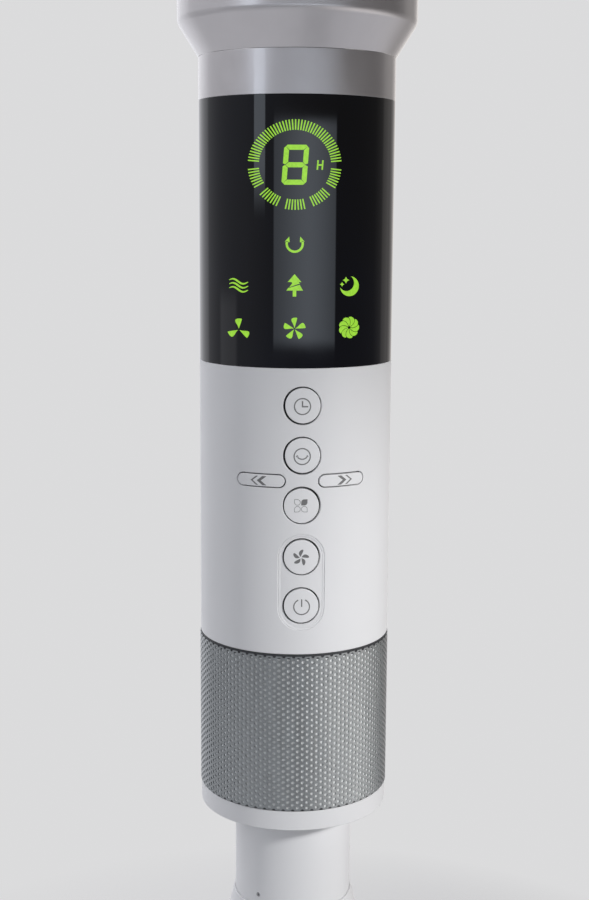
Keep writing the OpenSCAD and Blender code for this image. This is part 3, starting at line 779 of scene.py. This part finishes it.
class TOWERFAN_OT_base(bpy.types.Operator):
    """Make the base cover, the cone and the pole"""

    bl_idname = "towerfan.base"
    bl_label = "Base and pole"

    def execute(self, context):
        bottom, top = low("base_cover").z, high("base_cover").z
        wall = 3
        hole_r = 60
        crown_r, brim_z = BASE_R - 18, top - 3.4
        cover = turned([(BASE_R - wall, bottom), (BASE_R, bottom), (BASE_R, brim_z), (crown_r, top),
                        (hole_r, top), (hole_r, top - wall), (crown_r - 0.5, top - wall),
                        (BASE_R - wall, top - 7)],
                       {1: 0.6, 2: 7.5, 3: 30, 4: 0.5}, FINE_STEPS)
        as_piece("base_cover_shell", cover, "white_satin", "stand", ["base_cover"])

        foot_r, foot_z = high("base_cone").x, low("base_cone").z
        rim_r, rim_z = POLE_R + 0.9, high("base_cone").z
        outer = bezier((foot_r, foot_z), (48, foot_z + 6), (rim_r + 11.2, rim_z - 45),
                      (rim_r, rim_z), 24)
        inner = bezier((foot_r - wall, foot_z), (45, foot_z + 5), (rim_r + 8.6, rim_z - 48),
                      (POLE_R + 0.15, rim_z - 0.1), 24)
        cone = turned(outer + inner[::-1], {len(outer) - 1: 0.25})
        as_piece("base_cone_shell", cone, "white_satin", "stand", ["base_cone"])

        floor_z, pole_top = low("pole").z, high("pole").z
        half = math.pi * POLE_R
        screw = middle("pole_set_screw")
        angle = math.atan2(screw.x, -screw.y)
        screw_hole_r, pole_wall = 1.25, 1.5
        hole = moved(circle(screw_hole_r, steps=20), angle * POLE_R, screw.z)
        tube = plate([rectangle(-half, floor_z, half, pole_top), hole], pole_wall, 0.12, 1)
        bent("pole_tube", tube, POLE_R, "white_paint", "stand", ["pole"])
        return {"FINISHED"}


# ---------------------------------------------------------------- speaker section

CLOTH_DEPTH = 0.6
GRILLE_LOWER_GAP, GRILLE_UPPER_GAP = 0.4, 0.8


class TOWERFAN_OT_speaker(bpy.types.Operator):
    """Make the foot ring, the cloth and the perforated grille"""

    bl_idname = "towerfan.speaker"
    bl_label = "Speaker section"

    def execute(self, context):
        bore_r, socket_r, socket_top = POLE_R + 0.2, POLE_R + 4.5, high("foot_ring").z
        rim_r, floor_top = COLUMN_R - 2, FOOT_Z + 3
        foot = turned([(bore_r, FOOT_Z), (COLUMN_R, FOOT_Z), (COLUMN_R, GRILLE_Z),
                       (rim_r, GRILLE_Z), (rim_r, floor_top), (socket_r, floor_top),
                       (socket_r, socket_top), (bore_r, socket_top)],
                      {0: 0.3, 1: 0.7, 2: 0.35, 3: 0.35})
        as_piece("foot_ring_shell", foot, "white_satin", "stand", ["foot_ring"])
        cloth_r = high("speaker_grille").x - CLOTH_DEPTH
        bottom, top = low("grille_cloth").z, high("grille_cloth").z
        cloth = self.hoop(cloth_r - 0.4, cloth_r, bottom, top)
        as_piece("cloth_lining", cloth, "cloth", "stand", ["grille_cloth"])
        # Black rings just behind the narrow gaps at both ends of the grille: painted shade in those gaps.
        for name, start, end in (("upper_shade_band", SLEEVE_Z - 2.6, SLEEVE_Z - 0.1),
                                 ("lower_shade_band", GRILLE_Z + 0.1, GRILLE_Z + 1.2)):
            shade_band = self.hoop(cloth_r - 0.3, cloth_r + 0.12, start, end)
            as_piece(name, shade_band, "black_plastic", "stand")
        self.grille()
        return {"FINISHED"}

    @staticmethod
    def hoop(inner, outer, bottom, top):
        return turned([(inner, bottom), (outer, bottom), (outer, top), (inner, top)])

    def grille(self):
        """Two halves of staggered round holes, cut off through the holes at both ends."""
        s = sizes()
        radius = high("speaker_grille").x
        bottom = low("speaker_grille").z + GRILLE_LOWER_GAP
        top = high("speaker_grille").z - GRILLE_UPPER_GAP
        rows = round((top - bottom) / (s.mesh_row / MM))
        row = (top - bottom) / rows
        columns = round(math.tau * radius / (s.mesh_column / MM) / 4) * 4
        pitch = math.tau * radius / columns
        cell = self.cell(s.mesh_hole / MM / 2, pitch, row)
        for half, name in ((0, "speaker_grille_left"), (1, "speaker_grille_right")):
            bm = bmesh.new()
            for i in range(columns // 2):
                lift = row / 2 if i % 2 else 0
                for j in range(rows + 2):
                    self.add(bm, cell, ((i + 0.5) * pitch, bottom + j * row - lift))
            bmesh.ops.remove_doubles(bm, verts=bm.verts, dist=1e-3)
            for z, side in ((bottom, -1), (top, 1)):
                bmesh.ops.bisect_plane(bm, geom=bm.verts[:] + bm.edges[:] + bm.faces[:], dist=1e-4,
                                       plane_co=(0, z, 0), plane_no=(0, side, 0),
                                       clear_outer=True)
            for vert in bm.verts:
                angle = vert.co.x / radius + math.pi * (1 - half)
                vert.co = (radius * math.sin(angle), -radius * math.cos(angle), vert.co.y)
            bm.normal_update()
            bmesh.ops.solidify(bm, geom=bm.faces[:], thickness=s.mesh_thick / MM)
            bmesh.ops.recalc_face_normals(bm, faces=bm.faces)
            as_piece(name, bm, "perforated_metal", "stand",
                     ["speaker_grille"], 40)

    @staticmethod
    def cell(hole_r, pitch, row):
        """Corners of the quads between a hole and its cell's edge."""
        border = [(pitch / 2, 0), (pitch / 2, row / 2), (0, row / 2), (-pitch / 2, row / 2),
                  (-pitch / 2, 0), (-pitch / 2, -row / 2), (0, -row / 2), (pitch / 2, -row / 2)]
        hole = circle(hole_r, steps=8)
        return [(border[k], border[(k + 1) % 8], hole[(k + 1) % 8], hole[k]) for k in range(8)]

    @staticmethod
    def add(bm, cell, centre):
        for quad in cell:
            bm.faces.new([bm.verts.new((x + centre[0], y + centre[1], 0)) for x, y in quad])


# ---------------------------------------------------------------- controls

def button_place(name):
    """Turn round the column and height of a button."""
    return {"turn": joint_angle(name + "_button_press"), "y": middle(name + "_button").z}


POCKET_DROP = 0.6


def pocket_outline(grow=0.0):
    s = sizes()
    points = stadium(s.pocket_width / MM / 2 + grow, s.pocket_height / MM / 2 + grow, 36)
    height = (middle("speed_button").z + middle("power_button").z) / 2 - POCKET_DROP
    return on_column(points, y=height)


def round_hole(name, radius):
    return on_column(circle(radius, steps=72), **button_place(name))


def track_hole(name, inset=0.0):
    s = sizes()
    points = stadium(s.slot_length / MM / 2 - inset, s.slot_height / MM / 2 - inset)
    return on_column(points, **button_place(name))


def pocket_rim(depth):
    """A thin soft slope from the pocket's wall down to its floor."""
    bm = bmesh.new()
    section = ((0.03, -depth - 0.4), (0.03, -depth + 0.17), (-0.3, -depth + 0.09),
               (-0.7, -depth + 0.03), (-1.15, -depth), (-1.15, -depth - 0.4))
    loops = []
    for grow, z in section:
        points = [bm.verts.new((x, y, z)) for x, y in pocket_outline(grow)]
        loops.append([bm.edges.new(pair) for pair in zip(points, points[1:] + points[:1])])
    for first, second in zip(loops, loops[1:] + loops[:1]):
        bmesh.ops.bridge_loops(bm, edges=first + second)
    bmesh.ops.recalc_face_normals(bm, faces=bm.faces)
    return bm


SLEEVE_WALL = 2.2


class TOWERFAN_OT_sleeve(bpy.types.Operator):
    """Make the control sleeve with its holes and the shallow pocket"""

    bl_idname = "towerfan.sleeve"
    bl_label = "Control sleeve"

    def execute(self, context):
        s = sizes()
        hole_r = s.hole / MM / 2
        edge = s.edge / MM
        half = math.pi * COLUMN_R
        outlines = [rectangle(-half, SLEEVE_Z, half, DISPLAY_Z), pocket_outline()]
        outlines += [round_hole(name, hole_r) for name in ROUND_BUTTONS[:3]]
        outlines += [track_hole(name) for name in TRACK_BUTTONS]
        bent("sleeve_shell", plate(outlines, SLEEVE_WALL, edge, 3), COLUMN_R, "white_satin", "stand",
             ["control_sleeve"])
        depth = s.pocket_depth / MM
        floor = [pocket_outline(0.02)] + [round_hole(name, hole_r) for name in ROUND_BUTTONS[3:]]
        bm = plate(floor, SLEEVE_WALL - depth, edge * 0.8, 3)
        bmesh.ops.translate(bm, vec=(0, 0, -depth), verts=bm.verts)
        bent("sleeve_pocket", bm, COLUMN_R, "white_satin", "stand")
        bent("sleeve_pocket_rim", pocket_rim(depth), COLUMN_R, "white_satin", "stand")
        return {"FINISHED"}


CAP_PROUD, CAP_THICK, CAP_EDGE = 0.15, 3.9, 0.32
# Black plates behind the buttons, which put painted shade into the gap round each cap: radius, depth, thickness
# and overlap.
SHADE_PLATE_R, SHADE_PLATE_DEPTH, SHADE_PLATE_THICK, SHADE_PLATE_LAP = 10, 3.6, 1.2, 0.8
# How far each round cap rests off the middle of its hole, across and up.
CAP_PLAY = {"timer": (0.28, 0.08), "swing": (0.26, 0.16), "mode": (-0.18, -0.14),
            "speed": (-0.1, -0.08), "power": (0.02, 0.06)}


class TOWERFAN_OT_buttons(bpy.types.Operator):
    """Make the seven button caps and the black plates behind them that paint shade into the gaps round the caps"""

    bl_idname = "towerfan.buttons"
    bl_label = "Buttons"

    def execute(self, context):
        s = sizes()
        for name in ROUND_BUTTONS:
            across, up = CAP_PLAY[name]
            cap = moved(round_hole(name, s.cap / MM / 2), across, up)
            shade_plate = on_column(circle(SHADE_PLATE_R), **button_place(name))
            self.button(name, cap, shade_plate)
        for name in TRACK_BUTTONS:
            self.button(name, track_hole(name, s.track_gap / MM), track_hole(name, -SHADE_PLATE_LAP))
        return {"FINISHED"}

    @staticmethod
    def button(name, cap, shade_plate):
        body = name + "_button"
        bm = plate([cap], CAP_THICK, CAP_EDGE, 3)
        bmesh.ops.translate(bm, vec=(0, 0, CAP_PROUD), verts=bm.verts)
        bent(name + "_cap", bm, COLUMN_R, "white_button", body, [body])
        # A black plate behind the cap: painted shade in the gap round it.
        bm = plate([shade_plate], SHADE_PLATE_THICK, 0.1, 1)
        bmesh.ops.translate(bm, vec=(0, 0, -SHADE_PLATE_DEPTH), verts=bm.verts)
        bent(name + "_seal", bm, COLUMN_R, "black_plastic", body)


STROKE = 0.58


def timer_symbol():
    hands = [(-0.35, -0.4), (2.8, -0.4), (2.8, 0.25), (0.3, 0.25), (0.3, 2.7), (-0.35, 2.7)]
    return [moved(points, 0, -0.25) for points in (*ring(3.95, STROKE), hands)]


def swing_symbol():
    smile = band(arc(3.0, 215, 325, 24, (0, 1.64)), STROKE)
    tips = [moved(circle(0.62, steps=4), x, 0.1) for x in (-2.5, 2.5)]
    return [moved(points, 0, -0.25) for points in (*ring(4.0, STROKE), smile, *tips)]


def mode_symbol():
    """Four petals; the upper right one is a full leaf."""
    r, spread, line, shift = 1.54, 1.72, 0.22, -0.5
    leaf = arc(r, 90, 180, 12) + [(-r, -r)] + arc(r, 270, 360, 12) + [(r, r)]
    outlines = [moved(leaf, spread + shift, spread)]
    for sx, sy in ((-1, 1), (-1, -1), (1, -1)):
        for radius in (r, r - line):
            drop = arc(radius, 90, 360, 30) + [(radius, radius)]
            outlines.append([(sx * (x + spread) + shift, sy * (y + spread)) for x, y in drop])
    return outlines


def speed_symbol():
    leaf = blade(0.4, 3.8, 2.3, -1.6)
    return [moved(rotated(leaf, 104 + 72 * k), -0.4, -0.2) for k in range(5)]


def power_symbol():
    return [moved(points, 0.2, -0.4)
            for points in (band(arc(3.95, 116, 424, 64), STROKE), rectangle(-0.29, 0, 0.29, 3.9))]


def track_symbol(side, shift):
    """Two chevrons that point away from the middle, the outer one thin."""
    def chevron(x, stroke, reach=3.0, half=2.3):
        return [(x, half), (x + stroke, half), (x + stroke + reach, 0), (x + stroke, -half),
                (x, -half), (x + reach, 0)]
    shapes = [chevron(shift - 4.2, 2.1), chevron(shift + 0.2, 1.05)]
    return [[(side * x, y) for x, y in points] for points in shapes]


class TOWERFAN_OT_prints(bpy.types.Operator):
    """Print the symbols on the buttons"""

    bl_idname = "towerfan.prints"
    bl_label = "Button symbols"

    def execute(self, context):
        drawings = {"timer": timer_symbol(), "swing": swing_symbol(), "mode": mode_symbol(),
                    "speed": speed_symbol(), "power": power_symbol(),
                    "previous": track_symbol(-1, 0.75), "next": track_symbol(1, 1.2)}
        thick = sizes().print_height / MM
        for name, outlines in drawings.items():
            bm = plate(around_column(outlines, **button_place(name)), thick)
            bmesh.ops.translate(bm, vec=(0, 0, CAP_PROUD + thick), verts=bm.verts)
            bent(name + "_symbol", bm, COLUMN_R, "ink", name + "_button")
        return {"FINISHED"}


# ---------------------------------------------------------------- display

DIAL_X = -4.15
DIAL_Z = 337.4
DIAL_OUTER, DIAL_INNER, TICK = 22.5, 17.3, 0.64
DIAL_SQUASH = 0.945
LEAN = 4.3
LEFT_X, RIGHT_X = DIAL_X - 26.5, DIAL_X + 27.3


def dial_symbol():
    """A dial of ticks: one long upper arc and five short groups below."""
    angles = [6 + 4 * i for i in range(43)]
    angles += [186 + 36 * group + 4 * i for group in range(5) for i in range(7)]
    tick = rectangle(DIAL_INNER, -TICK / 2, DIAL_OUTER, TICK / 2)
    return [[(x, y * DIAL_SQUASH) for x, y in rotated(tick, a)] for a in angles]


def digit_symbol():
    """An eight of seven segments with cut corners, leaning a little."""
    w, h = sizes().digit_width / MM / 2, sizes().digit_height / MM / 2
    s, cut, gap = 2.6, 1.5, 0.1
    corner = (w - cut / 2, h - cut / 2)
    inner = (w - s, h - s)
    top = [(-w + cut, h), (w - cut, h), corner, inner, (-inner[0], inner[1]),
           (-corner[0], corner[1])]
    side = [(w, h - cut), (w, 0.6), (w - s / 2, 0), (w - s, s / 2), inner, corner]
    bar = [(-w + s, s / 2), (w - s, s / 2), (w - s / 2, 0), (w - s, -s / 2), (-w + s, -s / 2),
           (-w + s / 2, 0)]
    segments = [top, [(x, -y) for x, y in top], bar]
    segments += [[(sx * x, sy * y) for x, y in side] for sx in (1, -1) for sy in (1, -1)]
    return [slanted(shrunk(points, gap), LEAN) for points in segments]


def shrunk(points, gap):
    """Moves every point of an outline towards its middle, across and up."""
    cx = (max(p[0] for p in points) + min(p[0] for p in points)) / 2
    cy = (max(p[1] for p in points) + min(p[1] for p in points)) / 2
    return [(x - math.copysign(gap, x - cx), y - math.copysign(gap, y - cy)) for x, y in points]


def hours_symbol():
    w, h, s = 1.55, 2.25, 0.75
    points = [(-w, h), (-w + s, h), (-w + s, s / 2), (w - s, s / 2), (w - s, h), (w, h), (w, -h),
              (w - s, -h), (w - s, -s / 2), (-w + s, -s / 2), (-w + s, -h), (-w, -h)]
    return [slanted(points, LEAN)]


def turn_symbol():
    """An open ring with an arrow at each end."""
    path = band(arc(3.85, 163, 377, 48), 1.1)
    tip = [(-1.2, -1.05), (1.1, -0.75), (-1.0, 1.6)]
    return [path, moved([(-x, y) for x, y in tip], -3.65, 1.75), moved(tip, 3.65, 1.75)]


def wave_symbol():
    def swell(share):
        return 0.3 + 0.62 * math.sin(math.pi * share) ** 0.8

    strokes = []
    for k in (-1, 0, 1):
        path = [(-4.5 + 9.0 * i / 32, 0.95 * math.cos(math.tau * i / 32 - 1.35) - 0.09 * i / 4
                 + 1.95 * k + 0.3) for i in range(33)]
        strokes.append(band(path, swell))
    return strokes


def tree_symbol():
    crown = [(0, 5.3), (3.3, 1.5), (2.0, 1.5), (2.6, 0.6), (1.9, 0.6), (-2.6, -1.05), (-1.0, 1.0),
             (-1.6, 1.5), (-3.3, 1.5)]
    skirt = [(-2.3, -1.25), (2.5, 0.2), (4.1, -2.6), (0.85, -2.6), (0.85, -5.5), (-0.85, -5.5),
             (-0.85, -2.6), (-3.9, -2.6), (-2.9, -1.25)]
    return [crown, skirt]


def moon_symbol():
    """A crescent, cut out of a disc by a smaller disc, with two stars."""
    disc, bite, shift = 4.85, 3.9, 2.2
    cusp = math.degrees(math.acos((disc ** 2 + shift ** 2 - bite ** 2) / (2 * disc * shift)))
    hollow = math.degrees(math.acos((disc ** 2 - shift ** 2 - bite ** 2) / (2 * bite * shift)))
    centre = rotated([(shift, 0)], 135)[0]
    outline = arc(disc, 135 + cusp - 360, 135 - cusp, 48)
    outline += arc(bite, 135 - hollow, 135 + hollow - 360, 40, centre)[1:-1]

    def star(x, y, reach):
        corners = []
        for k in range(8):
            r = reach if k % 2 == 0 else reach * 0.5
            corners.append((x + r * math.cos(math.pi * k / 4), y + r * math.sin(math.pi * k / 4)))
        return corners
    return [outline, star(-1.9, 3.0, 1.65), star(-3.9, 1.0, 1.1)]


def fan_symbol(count, reach, width, inner, start):
    """Blades with a pointed root, one round shoulder and one sharp corner at the tip."""
    half_root = 0.1
    root, end = (inner, half_root), (inner, -half_root)
    shoulder, corner = (reach * 0.84, width * 0.5), (reach, -width * 0.52)
    sides = (bezier(root, (reach * 0.38, 0.15), (reach * 0.6, width * 0.5), shoulder, 10),
             bezier(shoulder, (reach * 1.02, width * 0.5), (reach * 1.06, -width * 0.1), corner, 10),
             bezier(corner, (reach * 0.8, -width * 0.5), (reach * 0.45, -width * 0.22), end, 10))
    leaf = [point for side in sides for point in side[:-1]] + [end]
    return [rotated(leaf, start - 360 * k / count) for k in range(count)]


def flower_symbol(count, reach):
    """Petals that stand close together round a small hub, parted by curved lines."""
    hub, shoulder, half_gap, twist = 0.7, 0.8, 0.13, 0.5

    def at(r, a):
        return r * math.cos(a), r * math.sin(a)

    sides = []
    for side in (-1, 1):
        edge = []
        for i in range(9):
            r = hub + (reach - hub - shoulder) * i / 8
            edge.append(at(r, side * (math.pi / count - half_gap / r) + twist * (r / reach) ** 2))
        sides.append(edge)
    tip = [at(reach - 0.3 * t * t, twist + 0.26 * t) for t in (-1, -0.5, 0, 0.5, 1)]
    petal = sides[0] + tip + sides[1][::-1]
    return [rotated(petal, 90 + 360 * k / count) for k in range(count)]


LIGHT_THICK, LIGHT_PROUD = 0.06, 0.05


class TOWERFAN_OT_display(bpy.types.Operator):
    """Make the display window and its lit symbols"""

    bl_idname = "towerfan.display"
    bl_label = "Display"

    def execute(self, context):
        inner_r = COLUMN_R - 2
        window = turned([(inner_r, DISPLAY_Z), (COLUMN_R, DISPLAY_Z), (COLUMN_R, NECK_Z),
                         (inner_r, NECK_Z)], {1: 0.2, 2: 0.2}, FINE_STEPS)
        as_piece("display_window_shell", window, "black_window", "stand",
                 ["display_window"])
        drawings = {
            "dial": (dial_symbol(), DIAL_X, DIAL_Z),
            "digit": (digit_symbol(), DIAL_X, DIAL_Z),
            "hours": (hours_symbol(), DIAL_X + 11.9, DIAL_Z),
            "turn": (turn_symbol(), DIAL_X - 0.1, 300.1),
            "waves": (wave_symbol(), LEFT_X - 0.3, 279.6),
            "tree": (tree_symbol(), DIAL_X - 0.1, 280.2),
            "moon": (moon_symbol(), RIGHT_X, 279.5),
            "gentle_fan": (fan_symbol(3, 5.3, 3.1, 0.6, 92), LEFT_X - 0.25, 257.9),
            "normal_fan": (fan_symbol(5, 5.25, 2.75, 0.5, 92), DIAL_X, 259.1),
            "strong_fan": (flower_symbol(9, 5.35), RIGHT_X, 259.3),
        }
        for name, (outlines, x, height) in drawings.items():
            bm = plate(around_column(outlines, x=x, y=FOOT_Z + height), LIGHT_THICK)
            bmesh.ops.translate(bm, vec=(0, 0, LIGHT_PROUD), verts=bm.verts)
            bent(name + "_light", bm, COLUMN_R, "lit_symbol", "stand")
        return {"FINISHED"}


# ---------------------------------------------------------------- neck and tower

class TOWERFAN_OT_neck(bpy.types.Operator):
    """Make the neck ring and the flared collar"""

    bl_idname = "towerfan.neck"
    bl_label = "Neck and collar"

    def execute(self, context):
        bush_r = high("swing_bushing").x
        wall, deck = 2.5, 4
        bore_r, hub_r, hub_z = 17.05, 22, NECK_TOP_Z - 14
        neck = turned([(COLUMN_R - wall, NECK_Z), (COLUMN_R, NECK_Z), (COLUMN_R, NECK_TOP_Z),
                       (bore_r, NECK_TOP_Z), (bore_r, hub_z), (hub_r, hub_z),
                       (hub_r, NECK_TOP_Z - deck), (COLUMN_R - wall, NECK_TOP_Z - deck)],
                      {1: 0.15, 2: 0.12}, FINE_STEPS)
        as_piece("neck_ring_shell", neck, "grey_gloss", "stand", ["neck_ring"])
        floor_z = low("head_collar").z + 0.9
        floor_top = floor_z + 3.2
        spindle_r = 14.02
        lip_z = NECK_TOP_Z + 0.1
        collar = turned([(spindle_r, floor_z), (bush_r + 8, floor_z), (COLUMN_R - 2, lip_z + 0.4),
                         (COLUMN_R, lip_z), (TOWER_R, SHOULDER_Z), (TOWER_R, BAY_TOP_Z),
                         (TOWER_R - wall, BAY_TOP_Z), (TOWER_R - wall, SHOULDER_Z + 1.5),
                         (COLUMN_R - 3, floor_top), (spindle_r, floor_top)],
                        {3: 0.12, 4: 1.8, 5: 0.3, 6: 0.3}, FINE_STEPS)
        as_piece("head_collar_shell", collar, "grey_gloss", "tower",
                 ["head_collar"])
        return {"FINISHED"}


class TOWERFAN_OT_tower(bpy.types.Operator):
    """Make the outlet grille, the intake housing and the top cap"""

    bl_idname = "towerfan.tower"
    bl_label = "Tower shells"

    def execute(self, context):
        bottom, top = low("front_grille").z, high("front_grille").z
        wall, edge = 2.5, 0.4
        split = math.radians(80)
        bands, columns, span = 4, 21, math.radians(96)
        rails, lower_rail, band_gap, slat = 10, 8, 6, 1.8
        band_height = (top - bottom - rails) / bands
        slot_half = (band_height - band_gap) / 2
        slot_width = span / columns * TOWER_R - slat
        outlines = [rectangle(-split * TOWER_R, bottom, split * TOWER_R, top)]
        for b in range(bands):
            middle_z = bottom + lower_rail + b * band_height + slot_half
            for i in range(columns):
                x = (-span / 2 + span * (i + 0.5) / columns) * TOWER_R
                outlines.append(moved(stadium(slot_width / 2, slot_half, 6), x, middle_z))
        bent("front_grille_shell", plate(outlines, wall, edge, 1), TOWER_R, "grey_gloss", "tower",
             ["front_grille"], step=4.0)

        seam = 0.1
        rear_half = (math.pi - split) * TOWER_R - seam
        outlines = [rectangle(-rear_half, bottom, rear_half, top)]
        pitch, height, first_slot, ends = 8.0, 3.6, 10, 16
        group_turn, slot_reach = 46, 21
        for i in range(int((top - bottom - ends) / pitch)):
            z = bottom + first_slot + i * pitch + height / 2
            for k in (-1, 0, 1):
                slot = stadium(math.radians(slot_reach) * TOWER_R, height / 2, 6)
                outlines.append(moved(slot, math.radians(group_turn * k) * TOWER_R, z))
        bent("rear_housing_shell", plate(outlines, wall, edge, 1), TOWER_R, "grey_gloss", "tower",
             ["rear_housing"], step=4.0, turn=math.pi)

        cap_top = high("top_cap").z
        spigot_z = low("top_cap").z
        spigot_r, hollow_r, hollow_z = TOWER_R - 2.6, TOWER_R - 5, cap_top - 4
        cap = turned([(0, cap_top), (TOWER_R, cap_top), (TOWER_R, top), (spigot_r, top),
                      (spigot_r, spigot_z), (hollow_r, spigot_z), (hollow_r, hollow_z),
                      (0, hollow_z)],
                     {1: 6, 2: 0.35})
        as_piece("top_cap_shell", cap, "grey_gloss", "tower", ["top_cap"])
        return {"FINISHED"}


class TOWERFAN_OT_inner_parts(bpy.types.Operator):
    """Give every part of the frame its finish"""

    bl_idname = "towerfan.inner_parts"
    bl_label = "Finishes of the frame's parts"

    def execute(self, context):
        for entry in frame["record"]["subparts"]:
            mesh = frame["nodes"][entry["node"]].data
            mesh.materials.clear()
            mesh.materials.append(FINISHES[entry["material_slot"]])
        return {"FINISHED"}


OPERATORS = (TOWERFAN_OT_stage, TOWERFAN_OT_inner_parts, TOWERFAN_OT_base, TOWERFAN_OT_speaker,
             TOWERFAN_OT_sleeve, TOWERFAN_OT_buttons, TOWERFAN_OT_prints, TOWERFAN_OT_display,
             TOWERFAN_OT_neck, TOWERFAN_OT_tower)


class TOWERFAN_PT_panel(bpy.types.Panel):
    """Lists the fan's pieces, its sizes and its colours"""

    bl_idname = "TOWERFAN_PT_panel"
    bl_label = "Tower Fan"
    bl_space_type = "VIEW_3D"
    bl_region_type = "UI"
    bl_category = "Tower Fan"

    def draw(self, context):
        for operator in OPERATORS:
            self.layout.operator(operator.bl_idname)
        for group in (context.scene.tower_fan_sizes, context.scene.tower_fan_colours):
            for name in group.bl_rna.properties.keys()[2:]:
                self.layout.prop(group, name)


CLASSES = (TowerFanSizes, TowerFanColours, *OPERATORS, TOWERFAN_PT_panel)


def register():
    for cls in CLASSES:
        bpy.utils.register_class(cls)
    bpy.types.Scene.tower_fan_sizes = bpy.props.PointerProperty(type=TowerFanSizes)
    bpy.types.Scene.tower_fan_colours = bpy.props.PointerProperty(type=TowerFanColours)


def unregister():
    del bpy.types.Scene.tower_fan_colours
    del bpy.types.Scene.tower_fan_sizes
    for cls in reversed(CLASSES):
        bpy.utils.unregister_class(cls)


def main():
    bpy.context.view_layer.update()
    register()
    bpy.ops.towerfan.stage()
    bpy.ops.towerfan.inner_parts()
    bpy.ops.towerfan.base()
    bpy.ops.towerfan.speaker()
    bpy.ops.towerfan.sleeve()
    bpy.ops.towerfan.buttons()
    bpy.ops.towerfan.prints()
    bpy.ops.towerfan.display()
    bpy.ops.towerfan.neck()
    bpy.ops.towerfan.tower()


if __name__ == "__main__":
    main()
